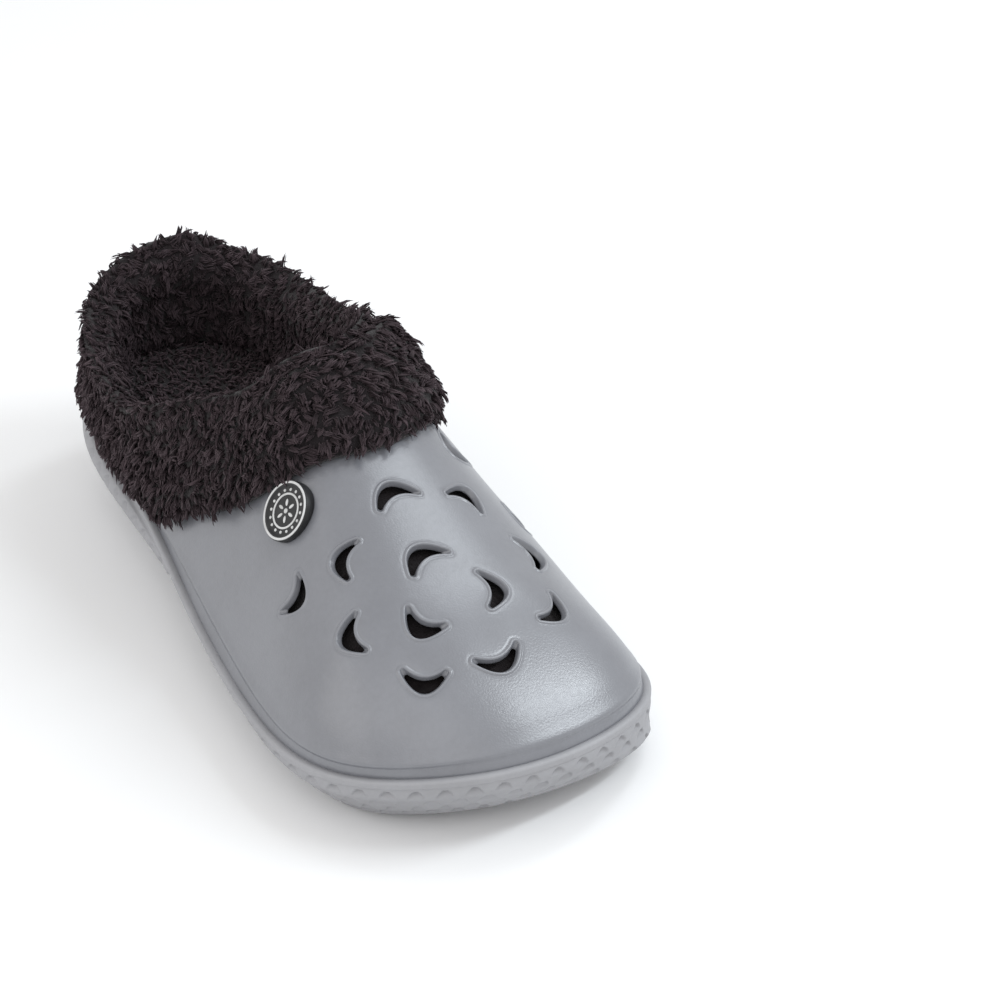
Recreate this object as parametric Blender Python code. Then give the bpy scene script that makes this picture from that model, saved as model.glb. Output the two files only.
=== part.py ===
"""A fleece-lined foam clog for the right foot, standing empty on its sole.

The toe points along -Y and the heel along +Y, the lateral side lies along -X, and the floor is z = 0.
Every surface is worked out from one last: a closed welt line round the foot, a spine down its middle and
a crest line above the spine.
"""

import math

import bmesh
import bpy
import numpy as np
from mathutils import Vector
from mathutils.bvhtree import BVHTree

MM = 0.001

# Driving sizes
WALL = 2.6 * MM              # foam wall of the upper
SEAT = 1.5 * MM              # depth of the groove in the sole that the upper stands in
LIP_HEIGHT = 2.6 * MM        # the lip round the top of the sole's side
TREAD_EDGE = 4.0 * MM        # the tread's rounded edge
GAP = 0.3 * MM               # between flat neighbours
CURVED_GAP = 0.8 * MM        # between faceted curved neighbours
INSOLE_THICKNESS = 6.0 * MM
INSOLE_ROUND = 2.5 * MM      # how far the insole's top edge is rounded in from its side
INSOLE_DRAFT = 0.3 * MM      # how far its side leans in half-way up
CUFF_OUTSIDE = 8.5 * MM      # pile of the cuff outside the upper
CUFF_INSIDE = 5.5 * MM       # pile of the cuff inside the upper
CUFF_RIDGE = 10.0 * MM       # pile standing above the upper's rim
RIDGE_LEAN = 0.18            # the ridge leans out by this share of its height
RIDGE_THICK = 0.4            # how much of the extra pile at the front reaches the ridge
HEM_THIN = 1.3               # how much of it is lost towards the lower edge
HEM_LIFT = 3.8 * MM          # the cuff's lower edge curls this far off the upper
LOCK = 1.1 * MM              # how far a lock of fleece stands out or falls back
BADGE_RADIUS = 9.0 * MM
BADGE_THICKNESS = 2.6 * MM
BADGE_RIM = 1.6 * MM         # width of the badge's raised edge
BADGE_STEP = 0.7 * MM        # height of the raised edge over the badge's face
BADGE_BEVEL = 0.4 * MM
BADGE_SIDES = 24
BADGE_PLACE = (-27.0 * MM, -32.0 * MM)
GROOVE_DEPTH = 2.2 * MM      # tread grooves

# Moves the last so that the shoe's box is centred on the origin
CENTRE_ACROSS = 3.34 * MM
CENTRE_ALONG = -4.04 * MM

# Sections of the upper are superellipses with these powers across and up
POWER_ACROSS = 2.2
POWER_UP = 1.55

# Number of columns along the stretches of the welt, and of rows up the upper
HEEL_COLUMNS = 8
REAR_COLUMNS = 12
VAMP_COLUMNS = 8
TOE_COLUMNS = 18
UPPER_ROWS = 11
CUFF_COLUMNS = 70
REAR_CROWDING = 2.4          # crowds the rear columns towards the collar's front
FINE_STEPS = 2001            # for reading a curve backwards


def columns(names, *rows):
    """A table with named columns, as one array for each name."""
    return dict(zip(names, np.array(rows, float).T))


# The welt, a row for each place round the foot: heel back, lateral side, toe, medial side.
# Station is 0 at the spine's heel end and 1 at its toe end, fullness bulges the section above,
# tuck is how far the tread edge lies inside the welt, swell how far the side stands outside it.
WELT = columns(
    ("across", "along", "height", "station", "fullness", "tuck", "swell"),
    (7.5, 130.0, 32.0, 0.00, 0.00, 5.0, 3.0),       # heel back
    (-13.0, 122.5, 32.0, 0.00, -0.02, 5.0, 4.0),    # heel, lateral corner
    (-28.0, 93.0, 30.0, 0.00, 0.00, 6.0, 5.0),      # heel, lateral side
    (-35.5, 48.0, 25.5, 0.30, 0.00, 10.0, 3.0),     # rear waist, lateral
    (-46.0, -2.0, 21.0, 0.60, -0.20, 15.0, -1.0),   # waist, lateral
    (-55.0, -56.0, 18.5, 0.92, -0.11, 10.0, -0.5),  # ball, lateral
    (-52.0, -95.0, 20.5, 1.00, 0.00, 9.0, 0.0),     # toe, lateral side
    (-29.5, -119.5, 24.5, 1.00, 0.00, 7.0, 0.3),    # toe, lateral corner
    (3.0, -128.0, 25.5, 1.00, 0.00, 3.0, 0.6),      # toe tip
    (38.5, -115.0, 22.5, 1.00, 0.00, -2.0, 0.8),    # toe, medial corner
    (47.5, -85.0, 20.0, 1.00, 0.02, 1.5, 0.5),      # toe, medial side
    (42.5, -48.0, 19.0, 0.84, 0.17, 9.0, 0.0),      # ball, medial
    (36.5, 0.0, 21.5, 0.58, 0.22, 12.0, 0.5),       # waist, medial
    (38.0, 49.0, 26.0, 0.30, 0.06, 9.0, 3.0),       # rear waist, medial
    (41.0, 93.0, 30.0, 0.00, 0.08, 6.0, 5.0),       # heel, medial side
    (29.0, 122.0, 32.0, 0.00, 0.02, 5.0, 4.0),      # heel, medial corner
)
LATERAL_START, TOE_START, MEDIAL_START, HEEL_START, TURN = 2, 6, 10, 14, 16

HEEL_CENTRE = np.array((6.5, 89.0)) * MM
TOE_CENTRE = np.array((-9.0, -74.0)) * MM
SPINE_BOW = 6.0 * MM

# Height of the crest over the floor; behind the collar it only guides the side walls
CREST = columns(
    ("along", "height"),
    (-130, 41.5), (-110, 48.0), (-90, 54.5), (-70, 61.0), (-40, 73.0),
    (-10, 87.0), (20, 93.0), (60, 96.0), (140, 96.0),
)

# Height of the footbed along the spine and of the tread over the floor
BED = columns(("along", "height"), (-80, 16.5), (-50, 16.5), (0, 19.0), (48, 23.0), (95, 26.5))
TREAD = columns(
    ("along", "height"),
    (-140, 14.0), (-126, 9.0), (-110, 4.2), (-98, 1.2), (-88, 0.0), (-42, 0.0), (-28, 1.5),
    (8, 7.0), (42, 2.0), (54, 0.0), (114, 0.0), (126, 2.0), (140, 6.0),
)

# Section of the sole's side, a row for each fold. Out and rise are in millimetres, tuck and swell are
# shares of the welt's own, and climb is the share of the way from the tread to the lip.
SIDE = columns(
    ("out", "tuck", "swell", "rise", "climb"),
    (-1.2, 1.00, 0.0, 1.3, 0.00),     # rounded edge of the tread
    (0.0, 1.00, 0.0, 3.6, 0.00),      # foot of the side
    (0.0, 0.45, 0.7, 0.0, 0.45),      # half-way up
    (1.0, 0.00, 1.0, 0.0, 0.86),      # fullest part
    (1.1, 0.00, 0.5, 0.0, 1.00),      # under the lip
    (1.8, 0.00, 0.0, 0.7, 1.00),      # lip's lower edge
    (1.8, 0.00, 0.0, 1.9, 1.00),      # lip's upper edge
    (1.1, 0.00, 0.0, 2.6, 1.00),      # top of the lip
)

# The cuff's lower edge outside and inside the upper, for each station of the collar, how deep its
# pile is on either side, and how much of its ridge stands over the rim
COLLAR_FRONT = 0.605         # station where the vamp is closed
HEM = columns(
    ("collar", "outer_station", "lateral_rise", "medial_rise", "inner_station", "inner_rise",
     "lateral_pile", "medial_pile", "ridge"),
    (0.00, 0.00, 0.07, 0.07, 0.00, 0.12, 1.00, 1.00, 1.00),
    (0.20, 0.21, 0.065, 0.08, 0.20, 0.12, 1.00, 1.00, 1.00),
    (0.32, 0.38, 0.10, 0.18, 0.33, 0.14, 1.00, 1.05, 1.00),
    (0.44, 0.55, 0.33, 0.44, 0.46, 0.28, 1.00, 1.35, 0.98),
    (0.53, 0.67, 0.58, 0.70, 0.57, 0.60, 1.05, 1.80, 0.85),
    (0.58, 0.735, 0.82, 0.90, 0.64, 0.88, 1.20, 1.75, 0.75),
    (COLLAR_FRONT, 0.77, 1.00, 1.00, 0.68, 1.00, 1.45, 1.45, 0.70),
)

# The cuff's pile from its lower edge up to the rim, and down again inside
OUTSIDE_PILE = columns(
    ("share", "pile"),
    (1.00, 0.70), (0.96, 0.78), (0.80, 0.95), (0.62, 1.00), (0.44, 1.00), (0.26, 1.00), (0.08, 1.00),
)
INSIDE_PILE = columns(("share", "pile"), (0.25, 0.82), (0.45, 1.10), (0.70, 1.35), (1.00, 1.25))
# Its fold over the rim, highest outside and sloping in: how far outside or inside the rim, and how high
RIDGE = columns(
    ("outside", "inside", "rise"),
    (1.00, 0.00, 0.25), (0.98, 0.00, 0.52), (0.82, 0.00, 0.72), (0.42, 0.00, 0.74),
    (0.00, 0.00, 0.50), (0.00, 0.55, 0.14),
)
# Its back against the upper, from the rim out to the lower edge
BACK_SHARES = (0.30, 0.55)
LIFT_SHARE = 0.80

# Crescent cut-outs: middle of the chord seen from above, where the belly faces, and in millimetres
# the chord's length and the height of the outer arch over it
CUTOUTS = columns(
    ("across", "along", "facing", "span", "belly"),
    (-2.5, -51.5, 97, 15.0, 6.8),      # outer ring
    (17.5, -54.5, 50, 12.5, 7.8),
    (27.0, -72.0, 4, 13.5, 8.4),
    (20.2, -93.0, -48, 14.0, 6.2),
    (-3.2, -103.0, -87, 15.2, 6.2),
    (-24.0, -99.5, -121, 13.2, 6.4),
    (-33.0, -80.5, 163, 13.4, 7.0),
    (-23.8, -61.2, 136, 13.6, 6.6),
    (-5.6, -73.2, 106, 15.6, 7.0),     # inner ring
    (4.4, -85.7, -15, 13.6, 6.8),
    (-16.0, -87.7, -142, 12.6, 7.2),
    (-37.5, -49.0, -78, 13.0, 8.2),    # lateral side
    (39.0, -49.0, -115, 13.5, 7.6),    # medial side
    (31.0, -27.5, -140, 14.0, 7.6),    # medial side, by the collar
)
CUTOUT_HOLLOW = 0.13         # height of the inner arch, over the span
CUTOUT_TIP = 1.0 * MM
CUTOUT_REACH = 9.0 * MM
ARCH_POWER = 2.0             # bend of the arches of cut-outs and grooves
OUTER_STEPS, INNER_STEPS = 9, 6

# Arched tread grooves: middle of the arch and the chord's length
GROOVES = columns(
    ("across", "along", "span"),
    (-3.0, -84.0, 62.0), (-4.0, -72.0, 68.0), (-5.0, -60.0, 66.0), (-5.0, -48.0, 58.0),
    (4.0, 58.0, 34.0), (4.0, 70.0, 38.0), (4.0, 82.0, 40.0), (4.0, 94.0, 38.0), (4.0, 106.0, 32.0),
)
GROOVE_RISE = 0.14
GROOVE_WIDTH = 3.2 * MM

# Base colours, linear
UPPER_GREY = (0.24, 0.245, 0.265, 1.0)
SOLE_GREY = (0.325, 0.325, 0.34, 1.0)
FLEECE_BLACK = (0.02, 0.015, 0.017, 1.0)
BADGE_BLACK = (0.02, 0.02, 0.021, 1.0)


def closed_spline(values, place):
    """Smooth closed curve through the rows of values, one row to each whole number of place."""
    count = len(values)
    ahead, behind = np.roll(values, -1, 0), np.roll(values, 1, 0)
    unit = np.eye(count)
    spread = 4 * unit + np.roll(unit, 1, 0) + np.roll(unit, -1, 0)
    bend = np.linalg.solve(spread, 6 * (ahead - 2 * values + behind))
    first = np.floor(place).astype(int) % count
    last = (first + 1) % count
    part = (place - np.floor(place))[..., None]
    rest = 1 - part
    line = rest * values[first] + part * values[last]
    return line + ((rest**3 - rest) * bend[first] + (part**3 - part) * bend[last]) / 6


def steady_curve(x, y, at):
    """Smooth curve through (x, y) that never overshoots its points."""
    step = np.diff(x)
    slope = np.diff(y) / step
    before, after = slope[:-1], slope[1:]
    rising = before * after > 0
    weight_a = 2 * step[1:] + step[:-1]
    weight_b = step[1:] + 2 * step[:-1]
    mean = (weight_a + weight_b) / (
        weight_a / np.where(rising, before, 1) + weight_b / np.where(rising, after, 1)
    )
    tangent = np.concatenate((slope[:1], np.where(rising, mean, 0), slope[-1:]))
    k = np.clip(np.searchsorted(x, at) - 1, 0, len(step) - 1)
    s = np.clip((at - x[k]) / step[k], 0, 1)
    return (
        y[k] * (1 + 2 * s) * (1 - s) ** 2
        + step[k] * tangent[k] * s * (1 - s) ** 2
        + y[k + 1] * s**2 * (3 - 2 * s)
        + step[k] * tangent[k + 1] * s**2 * (s - 1)
    )


WELT_POINTS = np.stack((WELT["across"], WELT["along"], WELT["height"]), 1) * MM


def welt(place):
    """Points of the welt line."""
    return closed_spline(WELT_POINTS, place)


def welt_value(name, place):
    """A column of the welt table, carried smoothly round the foot."""
    return closed_spline(WELT[name][:, None], place)[..., 0]


def outward(place):
    """Level directions pointing out of the welt line."""
    nudge = 0.01
    run = welt(place + nudge) - welt(place - nudge)
    across = np.stack((run[..., 1], -run[..., 0]), -1)
    return across / np.linalg.norm(across, axis=-1, keepdims=True)


def station(place):
    """Where on the spine the section through this place of the welt stands."""
    knots = np.arange(-2, TURN + 3)
    return steady_curve(knots.astype(float), WELT["station"][knots % TURN], place % TURN)


def spine(along):
    """Level points of the spine at these stations."""
    along = np.asarray(along)
    bow = np.stack((SPINE_BOW * 4 * along * (1 - along), np.zeros_like(along)), -1)
    return HEEL_CENTRE + (TOE_CENTRE - HEEL_CENTRE) * along[..., None] + bow


def height_at(table, along):
    return steady_curve(table["along"] * MM, table["height"] * MM, along)


def angle_of(rise):
    """Section angle at which the shell has climbed this part of the way from welt to crest."""
    return np.arcsin(np.clip(rise, 0, 1) ** (POWER_UP / 2))


def shell(place, angle, depth=0.0):
    """The upper's surface: angle runs from 0 at the welt to a right angle on the spine.

    Depth moves the surface in from the outside, and a negative depth moves it out.
    """
    place, angle = np.broadcast_arrays(np.asarray(place, float), np.asarray(angle, float))
    edge = welt(place)
    middle = spine(station(place))
    reach = edge[..., :2] - middle
    length = np.linalg.norm(reach, axis=-1)
    bulge = 1 + welt_value("fullness", place) * np.sin(2 * angle)
    share = np.cos(angle) ** (2 / POWER_ACROSS) * bulge * (1 - depth / length)
    level = middle + reach * share[..., None]
    climb = np.sin(angle) ** (2 / POWER_UP)
    height = edge[..., 2] + (height_at(CREST, level[..., 1]) - depth - edge[..., 2]) * climb
    return np.concatenate((level, height[..., None]), -1)


def places_at(stations, start, end):
    """Places of the welt between start and end whose sections stand at these stations."""
    fine = np.linspace(start, end, FINE_STEPS)
    found = station(fine)
    order = np.argsort(found, kind="stable")
    return np.interp(stations, found[order], fine[order])


def side_stations():
    """Stations of the columns between the heel fan and the toe fan, close together at the collar's front."""
    left = 1 - np.arange(1, REAR_COLUMNS + 1) / REAR_COLUMNS
    rear = COLLAR_FRONT * (1 - left**REAR_CROWDING)
    vamp = COLLAR_FRONT + (1 - COLLAR_FRONT) * np.arange(1, VAMP_COLUMNS) / VAMP_COLUMNS
    return np.concatenate((rear, vamp))


def welt_columns():
    """Places round the welt, so that lateral and medial columns meet on the spine."""
    stations = side_stations()
    lateral = places_at(stations, LATERAL_START, TOE_START)
    medial = places_at(stations[::-1], MEDIAL_START, HEEL_START)
    half_heel = np.linspace(0, LATERAL_START, HEEL_COLUMNS)
    toe = np.linspace(TOE_START, MEDIAL_START, TOE_COLUMNS + 1)
    back = np.linspace(HEEL_START, TURN, HEEL_COLUMNS)[:-1]
    return np.concatenate((half_heel, lateral, toe, medial, back))


# The collar: places of the welt between which the vamp is closed, and how far up from welt to crest the
# upper's rim lies round the foot: lowest by the lateral ankle, with a peak at the back
COLLAR_ENDS = (
    places_at(COLLAR_FRONT, LATERAL_START, TOE_START),
    places_at(COLLAR_FRONT, MEDIAL_START, HEEL_START),
)
COLLAR = columns(
    ("place", "rise"),
    (0.0, 0.485), (0.5, 0.44), (1.0, 0.385), (1.5, 0.345), (2.0, 0.325), (2.5, 0.315), (2.8, 0.325),
    (3.0, 0.375), (3.2, 0.453), (3.4, 0.535), (3.6, 0.625), (3.8, 0.735), (3.9, 0.81), (3.96, 0.88),
    (COLLAR_ENDS[0], 1.0), (COLLAR_ENDS[1], 1.0),
    (12.0, 0.965), (12.15, 0.90), (12.35, 0.80), (12.6, 0.68), (12.9, 0.57), (13.2, 0.515), (13.4, 0.485),
    (13.7, 0.435), (14.0, 0.41), (14.4, 0.41), (14.7, 0.43), (15.0, 0.47), (15.35, 0.515), (15.7, 0.50),
    (16.0, 0.485),
)


def collar_angle(place):
    """Section angle of the upper's rim, a right angle where the vamp is closed."""
    return angle_of(steady_curve(COLLAR["place"], COLLAR["rise"], place % TURN))


def new_material(name, colour, roughness):
    material = bpy.data.materials.new(name)
    material.use_nodes = True
    shader = material.node_tree.nodes["Principled BSDF"]
    shader.inputs["Base Color"].default_value = colour
    shader.inputs["Roughness"].default_value = roughness
    shader.inputs["Metallic"].default_value = 0.0
    return material


def new_solid(name, points, faces, material=None, smooth_angle=40):
    """A closed mesh object, its coinciding points made one and its faces turned out."""
    mesh = bpy.data.meshes.new(name)
    mesh.from_pydata(np.reshape(points, (-1, 3)).tolist(), [], faces)
    build = bmesh.new()
    build.from_mesh(mesh)
    bmesh.ops.translate(build, verts=build.verts, vec=(CENTRE_ACROSS, CENTRE_ALONG, 0))
    bmesh.ops.remove_doubles(build, verts=build.verts, dist=1e-6)
    bmesh.ops.recalc_face_normals(build, faces=build.faces)
    build.to_mesh(mesh)
    build.free()
    mesh.shade_smooth()
    mesh.set_sharp_from_angle(angle=math.radians(smooth_angle))
    solid = bpy.data.objects.new(name, mesh)
    bpy.context.scene.collection.objects.link(solid)
    if material:
        mesh.materials.append(material)
    return solid


def new_cutter(name, points, faces):
    cutter = new_solid(name, points, faces)
    cutter.hide_render = True
    cutter.display_type = "WIRE"
    return cutter


def cut(solid, cutter):
    boolean = solid.modifiers.new(cutter.name, "BOOLEAN")
    boolean.operation = "DIFFERENCE"
    boolean.solver = "EXACT"
    boolean.object = cutter


def band_faces(count, lower, upper, closed=True):
    """Quads between two rows of points that start at these indices."""
    last = count if closed else count - 1
    return [
        (lower + i, lower + (i + 1) % count, upper + (i + 1) % count, upper + i) for i in range(last)
    ]


def ring_faces(count, rows, wrap=False):
    """Quads between rows of points round the foot; wrap joins the last row to the first."""
    faces = []
    for row in range(rows if wrap else rows - 1):
        faces += band_faces(count, row * count, ((row + 1) % rows) * count)
    return faces


def crescent(span, belly, hollow, tip):
    """Outline of a crescent with its chord along x: a high arch out, and a flatter one back."""
    out = np.linspace(-1, 1, OUTER_STEPS)
    back = np.linspace(1, -1, INNER_STEPS)
    outer = np.stack((span / 2 * out, belly * (1 - np.abs(out) ** ARCH_POWER)), -1)
    inner = np.stack(((span / 2 - tip) * back, hollow * (1 - np.abs(back) ** ARCH_POWER)), -1)
    return np.concatenate((outer, inner))


def prism_faces(count, start):
    """Sides and ends of a prism whose two outlines follow each other from index start."""
    ends = [tuple(range(start, start + count)), tuple(range(start + count, start + 2 * count))]
    return ends + band_faces(count, start, start + count)


def make_sole():
    """Foam sole: arched tread, tucked side, lip round the edge, and the seat that the upper stands in."""
    place = welt_columns()
    count = len(place)
    edge, out = welt(place), outward(place)
    middle = spine(station(place))
    tuck, swell = welt_value("tuck", place) * MM, welt_value("swell", place) * MM
    lip_top = edge[:, 2]

    def level(offset):
        return edge[:, :2] + out * np.reshape(offset, (-1, 1))

    def ring(offset, height):
        return np.column_stack((level(offset), height))

    def tread_row(share):
        flat = level(-tuck - TREAD_EDGE) * share + middle * (1 - share)
        return np.column_stack((flat, height_at(TREAD, flat[:, 1])))

    foot = height_at(TREAD, level(-tuck)[:, 1])
    side = lip_top - LIP_HEIGHT - foot
    rows = [tread_row(share) for share in (0.0, 0.5, 1.0)]
    for step, tucked, swollen, rise, climb in zip(*SIDE.values()):
        rows.append(ring(step * MM - tuck * tucked + swell * swollen, foot + side * climb + rise * MM))
    rows += [
        ring(CURVED_GAP, lip_top),
        ring(CURVED_GAP, lip_top - SEAT),
        np.column_stack((middle, height_at(BED, middle[:, 1]))),
    ]
    sole = new_solid(
        "sole", rows, ring_faces(count, len(rows)), new_material("sole_foam", SOLE_GREY, 0.6)
    )
    cut(sole, new_cutter("tread_grooves", *groove_prisms()))


def groove_prisms():
    """Upright prisms for the arched tread grooves."""
    points, faces = [], []
    for across, along, span in zip(*GROOVES.values()):
        span = span * MM
        belly = GROOVE_RISE * span + GROOVE_WIDTH
        flat = crescent(span, belly, belly - GROOVE_WIDTH, GROOVE_WIDTH) * (1, -1)
        flat = flat + np.array((across, along)) * MM + (0, belly)
        faces += prism_faces(len(flat), len(points))
        for height in (-GROOVE_DEPTH, GROOVE_DEPTH):
            points += [(x, y, height) for x, y in flat]
    return points, faces


def upper_grid(depth):
    """Rows of the upper's surface from the seat to the rim or the spine."""
    place = welt_columns()
    rim = collar_angle(place)
    share = np.linspace(0, 1, UPPER_ROWS + 1)[:, None]
    rows = shell(place[None], rim[None] * share, depth)
    seat = rows[:1] - (0, 0, SEAT - GAP)
    return np.concatenate((seat, rows)), rim


def make_upper():
    """Moulded foam upper: one hollow shell, open underneath and at the collar, with crescent cut-outs."""
    outside, rim = upper_grid(0.0)
    inside, _ = upper_grid(WALL)
    rows, count = outside.shape[:2]
    shift = rows * count
    outer_faces = ring_faces(count, rows)
    inner_faces = [tuple(shift + i for i in reversed(face)) for face in outer_faces]
    foot_faces = band_faces(count, 0, shift)
    top = shift - count
    is_open = rim <= math.pi / 2 - 1e-6
    rim_faces = [
        face
        for i, face in enumerate(band_faces(count, top, top + shift))
        if is_open[i] or is_open[(i + 1) % count]
    ]
    upper = new_solid(
        "upper",
        np.concatenate((outside, inside)),
        outer_faces + inner_faces + foot_faces + rim_faces,
        new_material("upper_foam", UPPER_GREY, 0.5),
    )
    surface = BVHTree.FromPolygons(np.reshape(outside, (-1, 3)).tolist(), outer_faces)
    cut(upper, new_cutter("crescent_cutouts", *cutout_prisms(surface)))
    return surface


def on_surface(surface, across, along):
    """Point and outward normal of the upper under a place seen from above."""
    above = Vector((across, along, 1.0))
    point, normal, _, _ = surface.ray_cast(above, Vector((0, 0, -1)))
    return point, normal if normal.z > 0 else -normal


def cutout_prisms(surface):
    """Crescent prisms standing square to the upper's surface."""
    points, faces = [], []
    for across, along, facing, span, belly in zip(*CUTOUTS.values()):
        middle, normal = on_surface(surface, across * MM, along * MM)
        turn = math.radians(facing)
        ahead = Vector((math.cos(turn), math.sin(turn), 0))
        ahead = (ahead - normal * ahead.dot(normal)).normalized()
        chord = ahead.cross(normal)
        flat = crescent(span * MM, belly * MM, CUTOUT_HOLLOW * span * MM, CUTOUT_TIP)
        faces += prism_faces(len(flat), len(points))
        for reach in (-CUTOUT_REACH, CUTOUT_REACH):
            points += [middle + chord * x + ahead * y + normal * reach for x, y in flat]
    return points, faces


def make_insole():
    """Fleece-covered footbed: a pad that follows the upper's inner wall and lies on the sole."""
    place = welt_columns()
    count = len(place)
    side = WALL + CURVED_GAP
    low = shell(place, np.zeros(count), side)
    middle = spine(station(place))
    share = np.linalg.norm(low[:, :2] - middle, axis=1) / np.linalg.norm(welt(place)[:, :2] - middle, axis=1)
    bed = height_at(BED, middle[:, 1])
    low[:, 2] = (low[:, 2] - SEAT) * share + bed * (1 - share) + GAP
    rise = (INSOLE_THICKNESS - SEAT) / (height_at(CREST, low[:, 1]) - welt(place)[:, 2])
    waist = shell(place, angle_of(rise / 2), side + INSOLE_DRAFT)
    high = shell(place, angle_of(rise), side + INSOLE_ROUND)
    bottom = np.column_stack((middle, bed + GAP))
    top = np.column_stack((middle, bed + INSOLE_THICKNESS))
    rows = [bottom, low, waist, high, top]
    new_solid(
        "insole", rows, ring_faces(count, len(rows)), new_material("insole_fleece", FLEECE_BLACK, 0.95)
    )


def collar_places():
    """Places of the welt at even steps round the upper's rim, from the heel back by the lateral side."""
    lateral_end, medial_start = COLLAR_ENDS
    fine = np.concatenate(
        (np.linspace(0, lateral_end, FINE_STEPS), np.linspace(medial_start, TURN, FINE_STEPS))
    )
    rim = shell(fine, collar_angle(fine))
    run = np.concatenate(([0], np.cumsum(np.linalg.norm(np.diff(rim, axis=0), axis=1))))
    even = (np.arange(CUFF_COLUMNS) + 0.5) / CUFF_COLUMNS * run[-1]
    found = np.interp(even, run, fine)
    return np.where((found > lateral_end) & (found < medial_start), lateral_end, found)


def hem_value(place, lateral_name, medial_name=None):
    """A column of the hem table at these places, with its own column for the medial side."""
    here = station(place)
    return np.where(
        place < TURN / 2,
        steady_curve(HEM["collar"], HEM[lateral_name], here),
        steady_curve(HEM["collar"], HEM[medial_name or lateral_name], here),
    )


def cuff_leg(place, share, kind, depth):
    """Points between the rim (share 0) and the cuff's lower edge (share 1), outside or inside the upper."""
    here = station(place)
    lateral = place < TURN / 2
    rim_angle = collar_angle(place)
    hem_station = hem_value(place, kind + "_station")
    sides = ("lateral_rise", "medial_rise") if kind == "outer" else ("inner_rise",) * 2
    hem_angle = angle_of(hem_value(place, *sides))
    moved = here + (hem_station - here) * share
    along = np.where(
        lateral,
        places_at(moved, LATERAL_START, TOE_START),
        places_at(moved, MEDIAL_START, HEEL_START),
    )
    along = np.where(here > 0, along, place)
    return shell(along, rim_angle + (hem_angle - rim_angle) * share, depth)


def unit(vectors):
    return vectors / np.linalg.norm(vectors, axis=-1, keepdims=True)


def make_cuff():
    """Sherpa cuff: a fleece band folded over the upper's rim, hanging outside and lining it inside."""
    place = collar_places()
    count = len(place)
    rim = shell(place, collar_angle(place))
    into = unit(shell(place, collar_angle(place), WALL) - rim)
    up = unit(rim - cuff_leg(place, OUTSIDE_PILE["share"][-1], "outer", 0.0)) - into * RIDGE_LEAN
    extra = hem_value(place, "lateral_pile", "medial_pile") - 1
    tall = CUFF_RIDGE * hem_value(place, "ridge")
    odd = np.where(np.arange(count) % 2, LOCK, -LOCK)

    def outer(share, pile):
        return cuff_leg(place, share, "outer", -pile)

    def inner(share, pile):
        return cuff_leg(place, share, "inner", WALL + pile)

    rows = [outer(1.0, HEM_LIFT)]
    for share, pile in zip(*OUTSIDE_PILE.values()):
        depth = 1 + extra * (1 - HEM_THIN * share**2)
        rows.append(outer(share, CUFF_OUTSIDE * pile * depth + odd))
        odd = -odd
    for outside, inside, rise in zip(*RIDGE.values()):
        outward_pile = outside * CUFF_OUTSIDE * (1 + extra * RIDGE_THICK)
        inward = np.where(outside > 0, -outward_pile, WALL + inside * CUFF_INSIDE)
        rows.append(rim + into * inward[:, None] + up * (rise * tall + odd)[:, None])
        odd = -odd
    for share, pile in zip(*INSIDE_PILE.values()):
        rows.append(inner(share, CUFF_INSIDE * pile + odd))
        odd = -odd
    rows += [inner(share, CURVED_GAP) for share in (1.0, 0.5)]
    rows += [leg(0.0, CURVED_GAP) + up * CURVED_GAP for leg in (inner, outer)]
    rows += [outer(share, CURVED_GAP) for share in BACK_SHARES]
    rows.append(outer(LIFT_SHARE, HEM_LIFT))
    new_solid(
        "cuff",
        rows,
        ring_faces(count, len(rows), wrap=True),
        new_material("cuff_fleece", FLEECE_BLACK, 0.95),
        smooth_angle=70,
    )


def make_badge(surface):
    """Round rubber button on the lateral side: a disc with a raised edge, its back shaped to the upper."""
    middle, normal = on_surface(surface, *BADGE_PLACE)
    ahead = Vector((0, -1, 0))
    ahead = (ahead - normal * ahead.dot(normal)).normalized()
    aside = ahead.cross(normal)
    turns = np.linspace(0, 2 * math.pi, BADGE_SIDES, endpoint=False)

    def ring(radius, height):
        return [middle + (ahead * math.cos(a) + aside * math.sin(a)) * radius + normal * height for a in turns]

    def back(radius):
        found = (surface.ray_cast(p + normal * BADGE_RADIUS, -normal)[0] for p in ring(radius, 0))
        return [p + normal * CURVED_GAP for p in found]

    face = BADGE_THICKNESS - BADGE_STEP
    rows = [
        back(0.0),
        back(BADGE_RADIUS / 2),
        back(BADGE_RADIUS),
        ring(BADGE_RADIUS, BADGE_THICKNESS - BADGE_BEVEL),
        ring(BADGE_RADIUS - BADGE_BEVEL, BADGE_THICKNESS),
        ring(BADGE_RADIUS - BADGE_RIM, BADGE_THICKNESS),
        ring(BADGE_RADIUS - BADGE_RIM - BADGE_BEVEL / 2, face),
        ring(0.0, face),
    ]
    new_solid(
        "badge", rows, ring_faces(BADGE_SIDES, len(rows)), new_material("badge_rubber", BADGE_BLACK, 0.45)
    )


for old in list(bpy.data.objects):
    bpy.data.objects.remove(old)

make_sole()
upper_surface = make_upper()
make_insole()
make_cuff()
make_badge(upper_surface)
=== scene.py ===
"""Looks of a fleece-lined foam clog for the right foot, standing empty on its sole.

The toe points along -Y and the lateral side lies along -X. All surfaces are worked out on the same last as
the solids: a welt line round the foot, a spine down its middle and a crest line above the spine.
"""

import math

import bmesh
import bpy
import numpy as np
from mathutils import Matrix, Vector
from mathutils.geometry import delaunay_2d_cdt


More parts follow.
